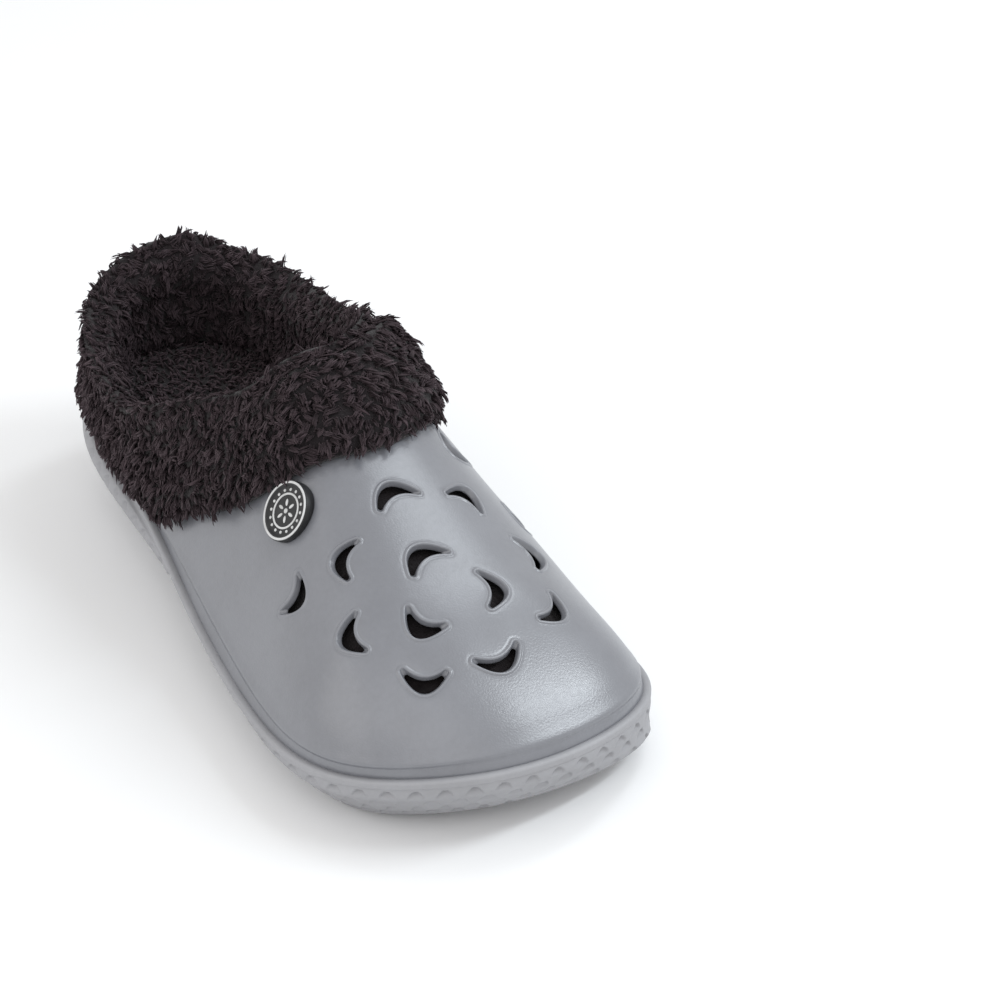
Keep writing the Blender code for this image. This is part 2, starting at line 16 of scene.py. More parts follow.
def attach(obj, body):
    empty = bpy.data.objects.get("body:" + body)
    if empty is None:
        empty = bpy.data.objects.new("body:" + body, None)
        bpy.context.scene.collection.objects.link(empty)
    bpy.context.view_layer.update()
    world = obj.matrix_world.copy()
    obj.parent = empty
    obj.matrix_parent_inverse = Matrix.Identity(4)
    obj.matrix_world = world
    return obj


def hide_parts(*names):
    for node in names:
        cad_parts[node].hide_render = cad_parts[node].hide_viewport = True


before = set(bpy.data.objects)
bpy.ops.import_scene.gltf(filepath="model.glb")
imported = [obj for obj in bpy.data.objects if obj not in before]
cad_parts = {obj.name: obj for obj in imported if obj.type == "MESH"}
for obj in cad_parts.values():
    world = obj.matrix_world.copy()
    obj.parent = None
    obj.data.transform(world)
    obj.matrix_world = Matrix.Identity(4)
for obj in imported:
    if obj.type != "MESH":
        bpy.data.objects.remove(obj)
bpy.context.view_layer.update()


# The sole
# One piece of light grey foam, moulded with arched grooves under it and rows of half-moon dents round its
# tucked side. The foot of the upper is glued into the groove behind the thin lip round its top edge.

MM = 0.001
CENTRE = np.array((3.34, -4.04, 0.0)) * MM     # from the last's own zero to the middle of the shoe
MERGE = 1e-7                 # points of a piece that lie this close become one


def columns(names, *rows):
    """A table with named columns, as one array for each name."""
    return dict(zip(names, np.array(rows, float).T))


# The welt, a row for each place round the foot. Station is 0 at the spine's heel end and 1 at its toe end,
# fullness bulges the section above, tuck is how far the tread lies inside the welt, swell how far the side
# stands outside it.
WELT = columns(
    ("across", "along", "height", "station", "fullness", "tuck", "swell"),
    (7.5, 130.0, 32.0, 0.00, 0.00, 5.0, 3.0),       # heel back
    (-13.0, 122.5, 32.0, 0.00, -0.02, 5.0, 4.0),    # heel, lateral corner
    (-28.0, 93.0, 30.0, 0.00, 0.00, 6.0, 5.0),      # heel, lateral side
    (-35.5, 48.0, 25.5, 0.30, 0.00, 10.0, 3.0),     # rear waist, lateral
    (-46.0, -2.0, 21.0, 0.60, -0.20, 15.0, -1.0),   # waist, lateral
    (-55.0, -56.0, 18.5, 0.92, -0.11, 10.0, -0.5),  # ball, lateral
    (-52.0, -95.0, 20.5, 1.00, 0.00, 9.0, 0.0),     # toe, lateral side
    (-29.5, -119.5, 24.5, 1.00, 0.00, 7.0, 0.3),    # toe, lateral corner
    (3.0, -128.0, 25.5, 1.00, 0.00, 3.0, 0.6),      # toe tip
    (38.5, -115.0, 22.5, 1.00, 0.00, -2.0, 0.8),    # toe, medial corner
    (47.5, -85.0, 20.0, 1.00, 0.02, 1.5, 0.5),      # toe, medial side
    (42.5, -48.0, 19.0, 0.84, 0.17, 9.0, 0.0),      # ball, medial
    (36.5, 0.0, 21.5, 0.58, 0.22, 12.0, 0.5),       # waist, medial
    (38.0, 49.0, 26.0, 0.30, 0.06, 9.0, 3.0),       # rear waist, medial
    (41.0, 93.0, 30.0, 0.00, 0.08, 6.0, 5.0),       # heel, medial side
    (29.0, 122.0, 32.0, 0.00, 0.02, 5.0, 4.0),      # heel, medial corner
)
LATERAL_START, TOE_START, MEDIAL_START, HEEL_START, TURN = 2, 6, 10, 14, 16
WELT_POINTS = np.stack((WELT["across"], WELT["along"], WELT["height"]), 1) * MM
HEEL_CENTRE = np.array((6.5, 89.0)) * MM
TOE_CENTRE = np.array((-9.0, -74.0)) * MM
SPINE_BOW = 6.0 * MM
FINE_STEPS = 8001

# Height of the footbed along the spine and of the tread over the floor
BED = columns(("along", "height"), (-80, 16.5), (-50, 16.5), (0, 19.0), (48, 23.0), (95, 26.5))
TREAD = columns(
    ("along", "height"),
    (-140, 14.0), (-126, 9.0), (-110, 4.2), (-98, 1.2), (-88, 0.0), (-42, 0.0), (-28, 1.5),
    (8, 7.0), (42, 2.0), (54, 0.0), (114, 0.0), (126, 2.0), (140, 6.0),
)
# Section of the side, a row for each fold, with the number of rows of points up to it. Out and rise are in
# millimetres, tuck and swell are shares of the welt's own, climb is the way from the tread to the lip.
SIDE = columns(
    ("out", "tuck", "swell", "rise", "climb", "rows"),
    (-4.0, 1.00, 0.0, 0.0, 0.00, 0),     # edge of the flat tread
    (-1.2, 1.00, 0.0, 1.3, 0.00, 4),     # its rounding
    (0.0, 1.00, 0.0, 3.6, 0.00, 5),      # foot of the side
    (0.0, 0.45, 0.7, 0.0, 0.45, 17),     # half-way up
    (1.0, 0.00, 1.0, 0.0, 0.86, 17),     # fullest part
    (1.1, 0.00, 0.5, 0.0, 1.00, 7),      # under the lip
    (1.8, 0.00, 0.0, 0.7, 1.00, 3),      # lip's lower edge
    (1.8, 0.00, 0.0, 1.9, 1.00, 3),      # lip's upper edge
    (1.1, 0.00, 0.0, 2.6, 1.00, 3),      # top of the lip
)
LIP_HEIGHT = 2.6 * MM
SEAT = 1.5 * MM              # depth of the groove that the upper stands in
CURVED_GAP = 0.8 * MM
TREAD_ROWS = 22
BED_ROWS = 5
SOLE_SIDE, SOLE_TOE, SOLE_HEEL = 230, 400, 100     # columns along the stretches of the welt

# Arched tread grooves: middle of the arch and the chord's length
GROOVES = columns(
    ("across", "along", "span"),
    (-3.0, -84.0, 62.0), (-4.0, -72.0, 68.0), (-5.0, -60.0, 66.0), (-5.0, -48.0, 58.0),
    (4.0, 58.0, 34.0), (4.0, 70.0, 38.0), (4.0, 82.0, 40.0), (4.0, 94.0, 38.0), (4.0, 106.0, 32.0),
)
GROOVE_RISE = 0.14
GROOVE_WIDTH = 3.2 * MM
GROOVE_DEPTH = 2.2 * MM
GROOVE_FLANK = 0.8 * MM

# Half-moon dents of the side, in staggered rows below the lip
DENT_PITCH = 7.8 * MM
DENT_ROWS = 5
DENT_FIRST = 3.6 * MM        # from the lip down to the chord of the first row
DENT_DROP = 4.1 * MM         # from row to row
DENT_HALF = 2.6 * MM
DENT_HEIGHT = 2.9 * MM
DENT_DEPTH = 1.6 * MM
DENT_EDGE = 0.25 * MM
DENT_CLEAR = 1.5 * MM        # the side has no dents this close to the tread
LEDGE_IN = 1.5 * MM          # the lip's flat top reaches this far in under the upper's foot band
LEDGE_FALL = 0.3 * MM

SOLE_DARK = (0.275, 0.275, 0.29, 1.0)
SOLE_LIGHT = (0.315, 0.315, 0.332, 1.0)


def closed_spline(values, place):
    """Closed cubic spline through the rows of values, one row to each whole number of place."""
    count = len(values)
    ahead, behind = np.roll(values, -1, 0), np.roll(values, 1, 0)
    unit_rows = np.eye(count)
    spread = 4 * unit_rows + np.roll(unit_rows, 1, 0) + np.roll(unit_rows, -1, 0)
    bend = np.linalg.solve(spread, 6 * (ahead - 2 * values + behind))
    first = np.floor(place).astype(int) % count
    last = (first + 1) % count
    part = (place - np.floor(place))[..., None]
    rest = 1 - part
    line = rest * values[first] + part * values[last]
    return line + ((rest**3 - rest) * bend[first] + (part**3 - part) * bend[last]) / 6


def steady_curve(x, y, at):
    """Smooth curve through the points (x, y) that never overshoots them: cubics with harmonic mean slopes."""
    extra = (1,) * (y.ndim - 1)
    step = np.diff(x).reshape((-1,) + extra)
    slope = np.diff(y, axis=0) / step
    before, after = slope[:-1], slope[1:]
    rising = before * after > 0
    near, far = 2 * step[1:] + step[:-1], step[1:] + 2 * step[:-1]
    mean = (near + far) / (near / np.where(rising, before, 1) + far / np.where(rising, after, 1))
    tangent = np.concatenate((slope[:1], np.where(rising, mean, 0), slope[-1:]))
    k = np.clip(np.searchsorted(x, at) - 1, 0, len(x) - 2)
    s = np.clip((at - x[k]) / (x[k + 1] - x[k]), 0, 1)
    s = s.reshape(s.shape + extra)
    return (
        y[k] * (1 + 2 * s) * (1 - s) ** 2
        + step[k] * tangent[k] * s * (1 - s) ** 2
        + y[k + 1] * s**2 * (3 - 2 * s)
        + step[k] * tangent[k + 1] * s**2 * (s - 1)
    )


def smooth_step(value, start, end):
    """0 up to start, 1 from end on, and a soft rise between them; falls where end lies before start."""
    t = np.clip((value - start) / (end - start), 0, 1)
    return t * t * (3 - 2 * t)


def welt(place):
    """Points of the welt line."""
    return closed_spline(WELT_POINTS, place)


def welt_value(name, place):
    """A column of the welt table, carried smoothly round the foot."""
    return closed_spline(WELT[name][:, None], place)[..., 0]


def outward(place):
    """Level directions that point out of the welt line."""
    nudge = 0.01
    run = welt(place + nudge) - welt(place - nudge)
    return unit(np.stack((run[..., 1], -run[..., 0]), -1))


def unit(vectors):
    """The vectors at length one."""
    return vectors / np.maximum(np.linalg.norm(vectors, axis=-1, keepdims=True), 1e-12)


def way_along(points):
    """How far along the way each row of points lies from the first; the mean, where a row has several."""
    step = np.linalg.norm(np.diff(points, axis=0), axis=-1)
    return np.concatenate(([0], np.cumsum(step.reshape(len(step), -1).mean(1))))


def station(place):
    """Where on the spine the section through this place of the welt stands."""
    knots = np.arange(-2, TURN + 3)
    return steady_curve(knots.astype(float), WELT["station"][knots % TURN], place % TURN)


def spine(along):
    """Level points of the spine at these stations: a straight line with a parabolic bow."""
    along = np.asarray(along)
    bow = np.stack((SPINE_BOW * 4 * along * (1 - along), np.zeros_like(along)), -1)
    return HEEL_CENTRE + (TOE_CENTRE - HEEL_CENTRE) * along[..., None] + bow


def height_at(table, along):
    """Height of a table's curve at these lengths along the shoe."""
    return steady_curve(table["along"] * MM, table["height"] * MM, along)


def places_at(stations, start, end):
    """Places of the welt between start and end whose sections stand at these stations."""
    fine = np.linspace(start, end, FINE_STEPS)
    found = station(fine)
    order = np.argsort(found, kind="stable")
    return np.interp(stations, found[order], fine[order])


def last_columns(side, toe, heel):
    """Places round the welt and their stations, so that lateral and medial columns end on the same points."""
    lateral = np.linspace(LATERAL_START, TOE_START, side + 2)[1:-1]
    stations = station(lateral)
    medial = places_at(stations[::-1], MEDIAL_START, HEEL_START)
    front = np.linspace(TOE_START, MEDIAL_START, toe + 1)
    back = np.linspace(HEEL_START, TURN + LATERAL_START, heel + 1)
    place = np.concatenate((lateral, front, medial, back))
    return place, np.concatenate((stations, np.ones(toe + 1), stations[::-1], np.zeros(heel + 1)))


def grid_faces(rows, count, closed=True, wrap=False):
    """Quads of a grid of points; closed joins its last column to the first, wrap its last row."""
    row = np.arange(rows if wrap else rows - 1)[:, None]
    column = np.arange(count if closed else count - 1)[None]
    above, beside = (row + 1) % rows, (column + 1) % count
    corners = (row * count + column, row * count + beside, above * count + beside, above * count + column)
    return np.stack(corners, -1).reshape(-1, 4)


def new_piece(name, points, faces, material, merge=MERGE):
    """A piece of the shoe from points on the last and arrays of faces; points within merge become one."""
    points = np.reshape(points, (-1, 3)) + CENTRE
    faces = faces if isinstance(faces, list) else [faces]
    sizes = np.concatenate([np.full(len(group), group.shape[1]) for group in faces])
    corners = np.concatenate([group.ravel() for group in faces])
    mesh = bpy.data.meshes.new(name)
    mesh.vertices.add(len(points))
    mesh.loops.add(len(corners))
    mesh.polygons.add(len(sizes))
    mesh.vertices.foreach_set("co", points.astype(np.float32).ravel())
    mesh.loops.foreach_set("vertex_index", corners.astype(np.int32))
    mesh.polygons.foreach_set("loop_start", (np.cumsum(sizes) - sizes).astype(np.int32))
    mesh.update(calc_edges=True)
    if merge:
        build = bmesh.new()
        build.from_mesh(mesh)
        bmesh.ops.remove_doubles(build, verts=build.verts, dist=merge)
        bmesh.ops.recalc_face_normals(build, faces=build.faces)
        build.to_mesh(mesh)
        build.free()
    mesh.shade_smooth()
    mesh.materials.append(material)
    piece = bpy.data.objects.new(name, mesh)
    bpy.context.scene.collection.objects.link(piece)
    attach(piece, "root")
    return piece


def dents(run, drop):
    """Depth of the half-moons, in staggered rows: most at the arch's top edge and none at its chord."""
    count = round(run[-1] / DENT_PITCH)
    depth = np.zeros(np.broadcast_shapes(run.shape, drop.shape))
    for row in range(DENT_ROWS):
        turn = run / run[-1] * count + 0.5 * (row % 2)
        aside = (turn - np.floor(turn) - 0.5) * DENT_PITCH / DENT_HALF
        above = DENT_FIRST + row * DENT_DROP - drop
        arch = DENT_HEIGHT * (1 - aside**2)
        inside = smooth_step(arch - above, 0, DENT_EDGE) * (above > 0)
        depth = np.maximum(depth, DENT_DEPTH * inside * above / DENT_HEIGHT)
    return depth


def groove_depth(flat):
    """Depth of the arched tread grooves at these level points: between two parabolas, with leaning flanks."""
    depth = np.zeros(flat.shape[:-1])
    for across, along, span in zip(*GROOVES.values()):
        half = span / 2 * MM
        belly = GROOVE_RISE * span * MM + GROOVE_WIDTH
        hollow = belly - GROOVE_WIDTH
        aside = (flat[..., 0] - across * MM) / half
        ahead = flat[..., 1] - along * MM
        front = belly * aside**2
        rear = belly - hollow * (1 - (aside * half / (half - GROOVE_WIDTH)) ** 2)
        room = np.minimum(ahead - front, rear - ahead)
        depth = np.maximum(depth, GROOVE_DEPTH * smooth_step(room, 0, GROOVE_FLANK) * (np.abs(aside) < 1))
    return depth


def sole_rows():
    """Rows of the sole from the spine under it, over the tread's edge and up the side, into the bed."""
    place, where = last_columns(SOLE_SIDE, SOLE_TOE, SOLE_HEEL)
    edge, out, middle = welt(place), outward(place), spine(where)
    tuck, swell = welt_value("tuck", place) * MM, welt_value("swell", place) * MM
    lip_top = edge[:, 2]

    def level(offset):
        return edge[:, :2] + out * np.asarray(offset)[..., None]

    fold = np.cumsum(SIDE["rows"])
    row = np.arange(fold[-1] + 1.0)
    step, tucked, swollen, rise, climb = (
        steady_curve(fold, SIDE[name], row)[:, None] for name in ("out", "tuck", "swell", "rise", "climb")
    )
    foot = height_at(TREAD, level(-tuck)[:, 1])
    tall = lip_top - LIP_HEIGHT - foot
    height = foot + tall * climb + rise * MM
    run = way_along(edge[:, :2])
    drop = lip_top - LIP_HEIGHT - height
    offset = step * MM - tuck * tucked + swell * swollen - dents(run, drop) * (height > foot + DENT_CLEAR)
    side = np.concatenate((level(offset), height[..., None]), -1)

    share = np.linspace(0, 1, TREAD_ROWS, endpoint=False)[:, None, None]
    flat = level(SIDE["out"][0] * MM - tuck) * share + middle * (1 - share)
    ground = height_at(TREAD, flat[..., 1]) + groove_depth(flat)
    tread = np.concatenate((flat, ground[..., None]), -1)

    share = np.linspace(1, 0, BED_ROWS)[:, None, None]
    low = np.column_stack((level(-LEDGE_IN), lip_top - SEAT))
    bed = low * share + np.column_stack((middle, height_at(BED, middle[:, 1]))) * (1 - share)
    lip = np.column_stack((level(-LEDGE_IN), lip_top - LEDGE_FALL))
    return np.concatenate((tread, side, lip[None], bed))


class Wire:
    """A socket in a material; sums, differences, products and powers of wires and numbers add Math nodes."""

    def __init__(self, nodes, socket=None):
        self.nodes = nodes
        self.socket = socket

    def node(self, kind, settings=(), sockets=(), out=0):
        """Adds a node: its settings first, then the values or links of its sockets; gives one output."""
        made = self.nodes.new("ShaderNode" + kind)
        for name, value in dict(settings).items():
            setattr(made, name, value)
        for name, value in dict(sockets).items():
            if isinstance(value, Wire):
                self.nodes.id_data.links.new(value.socket, made.inputs[name])
            else:
                made.inputs[name].default_value = value
        return Wire(self.nodes, made.outputs[out])

    def math(self, operation, *values):
        return self.node("Math", {"operation": operation}, enumerate(values))

    def __add__(self, other):
        return self.math("ADD", self, other)

    def __sub__(self, other):
        return self.math("SUBTRACT", self, other)

    def __rsub__(self, other):
        return self.math("SUBTRACT", other, self)

    def __mul__(self, other):
        return self.math("MULTIPLY", self, other)

    def __pow__(self, other):
        return self.math("POWER", self, other)

    __radd__, __rmul__ = __add__, __mul__

    def noise(self, scale, detail, roughness=0.5):
        """Cloudy values at the points that this wire carries."""
        sockets = {"Vector": self, "Scale": scale, "Detail": detail, "Roughness": roughness}
        return self.node("TexNoise", (), sockets)

    def bump(self, strength, distance):
        """Normals of a surface with these values as its relief."""
        return self.node("Bump", (), {"Strength": strength, "Distance": distance, "Height": self})

    def ramp(self, start, end):
        """0 up to start and 1 from end on."""
        settings = {"clamp": True, "interpolation_type": "SMOOTHSTEP"}
        return self.node("MapRange", settings, {"Value": self, "From Min": start, "From Max": end})

    def mix(self, first, second):
        """From the first colour to the second as this value goes from 0 to 1."""
        return self.node("Mix", {"data_type": "RGBA"}, {0: self, 6: first, 7: second}, out=2)


def new_finish(name, **fixed):
    """A material with these fixed shader values, its shader's sockets, and a wire to start patterns from."""
    material = bpy.data.materials.new(name)
    material.use_nodes = True
    tree = material.node_tree
    shader = tree.nodes["Principled BSDF"]
    for socket, value in fixed.items():
        shader.inputs[socket.replace("_", " ")].default_value = value
    return material, shader.inputs, Wire(tree.nodes)


def feed(sockets, **wires):
    """Links wires to the sockets of a shader."""
    for name, wire in wires.items():
        wire.nodes.id_data.links.new(wire.socket, sockets[name.replace("_", " ")])


def foam_finish(name, dark, light, matt, grain_size, grain_depth):
    """Moulded foam: a cloudy colour, and a skin of fine pebbles whose gloss changes a little."""
    material, sockets, start = new_finish(name, Metallic=0.0, Specular_IOR_Level=0.9)
    here = start.node("TexCoord", out="Object")
    cloud = here.noise(scale=38.0, detail=4.0, roughness=0.6)
    speck = here.noise(scale=620.0, detail=2.0)
    pebble = here.node("TexVoronoi", {"feature": "SMOOTH_F1"}, {"Vector": here, "Scale": 1 / grain_size})
    relief = 1 - pebble**1.4 + here.noise(scale=2.2 / grain_size, detail=2.0) * 0.5
    shade = (cloud * 0.75 + speck * 0.25).ramp(0.3, 0.7)
    feed(
        sockets,
        Base_Color=shade.mix(dark, light),
        Roughness=matt + cloud * 0.12 - speck * 0.06,
        Normal=relief.bump(strength=0.55, distance=grain_depth),
    )
    return material


rows = sole_rows()
sole_skin = foam_finish(
    "sole_foam_skin", SOLE_DARK, SOLE_LIGHT, matt=0.56, grain_size=0.7 * MM, grain_depth=0.05 * MM
)
sole = new_piece("sole_moulding", rows, grid_faces(*rows.shape[:2]), sole_skin)
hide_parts("sole")


# The upper
# One hollow moulding of mid grey foam with a finely pebbled skin. It stands in the sole's groove on a
# recessed foot band, and each crescent vent in it has a raised round bead with a fine line round it.

WALL = 2.6 * MM
GAP = 0.3 * MM               # between parts that lie on each other
POWER_ACROSS, POWER_UP = 2.2, 1.55     # powers of the superellipses of its sections
CREST = columns(
    ("along", "height"),
    (-130, 41.5), (-110, 48.0), (-90, 54.5), (-70, 61.0), (-40, 73.0),
    (-10, 87.0), (20, 93.0), (60, 96.0), (140, 96.0),
)
COLLAR_FRONT = 0.605
COLLAR_ENDS = (
    places_at(COLLAR_FRONT, LATERAL_START, TOE_START),
    places_at(COLLAR_FRONT, MEDIAL_START, HEEL_START),
)
# Its rim round the foot: lowest by the lateral ankle, with a peak at the back and a straight front
COLLAR = columns(
    ("place", "rise"),
    (0.0, 0.485), (0.5, 0.44), (1.0, 0.385), (1.5, 0.345), (2.0, 0.325), (2.5, 0.315), (2.8, 0.325),
    (3.0, 0.375), (3.2, 0.453), (3.4, 0.535), (3.6, 0.625), (3.8, 0.735), (3.9, 0.81), (3.96, 0.88),
    (COLLAR_ENDS[0], 1.0), (COLLAR_ENDS[1], 1.0),
    (12.0, 0.965), (12.15, 0.90), (12.35, 0.80), (12.6, 0.68), (12.9, 0.57), (13.2, 0.515), (13.4, 0.485),
    (13.7, 0.435), (14.0, 0.41), (14.4, 0.41), (14.7, 0.43), (15.0, 0.47), (15.35, 0.515), (15.7, 0.50),
    (16.0, 0.485),
)
UPPER_SIDE, UPPER_TOE, UPPER_HEEL = 120, 96, 60
FOOT_HEIGHTS = np.array((0.0, 0.5, 1.0, 1.6, 2.2, 2.6, 2.9, 3.2, 3.5, 3.9, 4.5, 5.4, 6.6)) * MM
BODY_ROWS = 27
FOOT_RECESS = 0.55 * MM      # the foot band lies this far behind the dome above it
FOOT_BEAD = 0.25 * MM        # and the dome's lower edge stands this far out
# Heights over the welt at which the recess ends, the bead rises to its full height, and it falls off again
RECESS_END, BEAD_RISE, BEAD_FALL = np.array(((3.5, 2.7), (2.8, 3.6), (6.0, 3.9))) * MM
FAN_CROWD = 0.06             # up the toe's fan the columns are thinned out until they are this crowded
SKIN_FROM = 0.45             # section angle above which vents and badge are fitted to the skin
NORMAL_REACH = 5 * MM        # a normal is read from the skin's points this near
NET_CLOSE = 1e-8             # points of the flat net this close are one
RIM_CLOSED = math.pi / 2 - 1e-6     # section angle of the rim from which the vamp is closed
FLAT_PUSH, FOOT_PUSH = 3.0, 12.0     # how far the net spreads with its depth, and more so in the foot zone
CREST_TOP, FOOT_ZONE = 100 * MM, 60 * MM

# Crescent vents: middle of the chord seen from above, where the belly faces, and in millimetres the chord's
# length and the height of the outer arch over it
VENTS = columns(
    ("across", "along", "facing", "span", "belly"),
    (-2.5, -51.5, 97, 15.0, 6.8),      # outer ring
    (17.5, -54.5, 50, 12.5, 7.8),
    (27.0, -72.0, 4, 13.5, 8.4),
    (20.2, -93.0, -48, 14.0, 6.2),
    (-3.2, -103.0, -87, 15.2, 6.2),
    (-24.0, -99.5, -121, 13.2, 6.4),
    (-33.0, -80.5, 163, 13.4, 7.0),
    (-23.8, -61.2, 136, 13.6, 6.6),
    (-5.6, -73.2, 106, 15.6, 7.0),     # inner ring
    (4.4, -85.7, -15, 13.6, 6.8),
    (-16.0, -87.7, -142, 12.6, 7.2),
    (-37.5, -49.0, -78, 13.0, 8.2),    # lateral side
    (39.0, -49.0, -115, 13.5, 7.6),    # medial side
    (31.0, -27.5, -140, 14.0, 7.6),    # medial side, by the collar
)
VENT_HOLLOW = 0.13           # height of the inner arch, over the span
VENT_ROUND = 0.75 * MM       # radius of the crescent's tips
TIP_SHRINK, TIP_LIFT, OUTER_SHRINK, INNER_SHRINK = 1.6, 1.8, 0.8, 0.55     # how a vent narrows inwards
VENT_OUTER, VENT_TIP, VENT_INNER = 30, 9, 22
VENT_PATCH = 15.0 * MM
PATCH_POWERS = [(i, j) for i in range(7) for j in range(7 - i)]
# Section of a vent's edge: how far outside the hole, how high over the skin, and how much narrower the hole
VENT_EDGE = columns(
    ("spread", "rise", "shrink"),
    (2.1, 0.0, 0.0), (1.7, -0.02, 0.0), (1.4, -0.09, 0.0), (1.22, -0.09, 0.0), (1.05, 0.03, 0.0),
    (0.85, 0.17, 0.0), (0.62, 0.25, 0.0), (0.38, 0.23, 0.0), (0.17, 0.1, 0.0), (0.03, -0.15, 0.0),
    (0.0, -0.5, 0.12), (0.0, -0.95, 0.38), (0.0, -1.4, 0.65),
)
VENT_THIN = 0.9 * MM         # the wall is this much thinner at the edge of a vent
VENT_CLEAR = 3.1 * MM        # no other point of the skin lies this close to a vent

UPPER_DARK = (0.168, 0.172, 0.190, 1.0)
UPPER_LIGHT = (0.194, 0.199, 0.220, 1.0)


def angle_of(rise):
    """Section angle at which the shell has climbed this part of the way from welt to crest."""
    return np.arcsin(np.clip(rise, 0, 1) ** (POWER_UP / 2))


def shell(place, angle, depth=0.0, where=None):
    """The upper's surface, sunk by depth: superellipses from the welt (angle 0) up to a right angle."""
    place, angle = np.broadcast_arrays(np.asarray(place, float), np.asarray(angle, float))
    edge = welt(place)
    middle = spine(station(place) if where is None else np.broadcast_to(where, place.shape))
    reach = edge[..., :2] - middle
    length = np.linalg.norm(reach, axis=-1)
    bulge = 1 + welt_value("fullness", place) * np.sin(2 * angle)
    share = np.abs(np.cos(angle)) ** (2 / POWER_ACROSS) * bulge * (1 - depth / length)
    level = middle + reach * share[..., None]
    climb = np.sin(angle) ** (2 / POWER_UP)
    height = edge[..., 2] + (height_at(CREST, level[..., 1]) - depth - edge[..., 2]) * climb
    return np.concatenate((level, height[..., None]), -1)


def collar_angle(place):
    """Section angle of the upper's rim, a right angle where the vamp is closed."""
    return angle_of(steady_curve(COLLAR["place"], COLLAR["rise"], place % TURN))


def spread_flat(points):
    """The shell laid out flat: a point moves away from the spine, the further the lower it lies."""
    axis = TOE_CENTRE - HEEL_CENTRE
    share = np.clip((points[..., :2] - HEEL_CENTRE) @ axis / (axis @ axis), 0, 1)
    foot = HEEL_CENTRE + share[..., None] * axis
    height = points[..., 2]
    push = 1 + FLAT_PUSH * (1 - height / CREST_TOP) + FOOT_PUSH * np.maximum(1 - height / FOOT_ZONE, 0) ** 2
    return foot + (points[..., :2] - foot) * push[..., None]


def powers(x, y):
    """The products of powers of x and y that a patch is a sum of."""
    return np.stack([x**i * y**j for i, j in PATCH_POWERS], -1)


def skin_frame(skin, across, along):
    """Point of the skin under a place seen from above, and its normal, from a paraboloid through it there."""
    flat = skin[:, :2] - (across, along)
    near = np.linalg.norm(flat, axis=1) < NORMAL_REACH
    x, y = flat[near].T / MM
    terms = np.stack((np.ones_like(x), x, y, x * x, x * y, y * y), -1)
    found = np.linalg.lstsq(terms, skin[near, 2] / MM, rcond=None)[0]
    return np.array((across, along, found[0] * MM)), unit(np.array((-found[1], -found[2], 1.0)))


def vent_outline(span, belly, spread, shrink):
    """A crescent in its own plane at this distance outside its edge, clockwise.

    Two parabolic arches over one chord are moved out along their normals, with an arc round each tip. Shrink
    draws the tips back along the arms, and the arches together.
    """
    half = span / 2 - VENT_ROUND - TIP_SHRINK * shrink
    base = TIP_LIFT * shrink
    out = np.linspace(-1, 1, VENT_OUTER)
    back = np.linspace(1, -1, VENT_INNER)
    tall = belly - VENT_ROUND - OUTER_SHRINK * shrink - base
    low = VENT_HOLLOW * span + VENT_ROUND + INNER_SHRINK * shrink - base
    line = np.concatenate((
        np.stack((half * out, base + tall * (1 - out**2)), -1),
        np.stack((half * back, base + low * (1 - back**2)), -1),
    ))
    lean = np.concatenate((2 * tall * out / half, 2 * low * back / half))
    side = np.repeat((1.0, -1.0), (VENT_OUTER, VENT_INNER))
    facing = np.arctan2(side, side * lean)
    turn = np.linspace(0, 1, VENT_TIP + 2)[1:-1]
    ends = (VENT_OUTER - 1, VENT_OUTER), (VENT_OUTER + VENT_INNER - 1, 0)
    arcs = []
    for first, second in ends:
        sweep = (facing[first] - facing[second]) % (2 * math.pi)
        arcs.append(facing[first] - turn * sweep)
    facing = np.concatenate((facing[:VENT_OUTER], arcs[0], facing[VENT_OUTER:], arcs[1]))
    right, left = np.repeat(line[:1] * (-1, 1), VENT_TIP, 0), np.repeat(line[:1], VENT_TIP, 0)
    line = np.concatenate((line[:VENT_OUTER], right, line[VENT_OUTER:], left))
    return line + (VENT_ROUND + spread) * np.stack((np.cos(facing), np.sin(facing)), -1)


def vent_points(skin, vent, spreads, shrinks):
    """Outlines of a vent on the skin, a row for each spread: a polynomial patch fitted to the skin there."""
    across, along, facing, span, belly = vent
    middle, normal = skin_frame(skin, across * MM, along * MM)
    turn = math.radians(facing)
    ahead = np.array((math.cos(turn), math.sin(turn), 0.0))
    ahead = unit(ahead - normal * (ahead @ normal))
    chord = np.cross(ahead, normal)
    near = skin[np.linalg.norm(skin - middle - ahead * belly / 2 * MM, axis=1) < VENT_PATCH] - middle
    size = VENT_PATCH
    terms = powers(near @ chord / size, near @ ahead / size)
    found = np.linalg.lstsq(terms, near @ normal, rcond=None)[0]
    steps = zip(spreads, shrinks)
    flat = np.stack([vent_outline(span * MM, belly * MM, spread, shrink) for spread, shrink in steps])
    lift = powers(flat[..., 0] / size, flat[..., 1] / size) @ found
    return middle + flat[..., :1] * chord + flat[..., 1:] * ahead + lift[..., None] * normal


def inside_loop(points, loop):
    """Whether level points lie in a closed loop: a ray from them crosses it an odd number of times."""
    start, end = loop, np.roll(loop, -1, 0)
    x, y = points[:, :1], points[:, 1:]
    spans = (start[:, 1] > y) != (end[:, 1] > y)
    rise = np.where(end[:, 1] == start[:, 1], 1, end[:, 1] - start[:, 1])
    crossing = start[:, 0] + (y - start[:, 1]) * (end[:, 0] - start[:, 0]) / rise
    return (spans & (x < crossing)).sum(1) % 2 == 1


def point_normals(points, triangles):
    """Normals of the points: the sum of their triangles' normals."""
    a, b, c = (points[triangles[:, k]] for k in range(3))
    face = np.cross(b - a, c - a)
    total = np.zeros_like(points)
    for k in range(3):
        np.add.at(total, triangles[:, k], face)
    return unit(total)


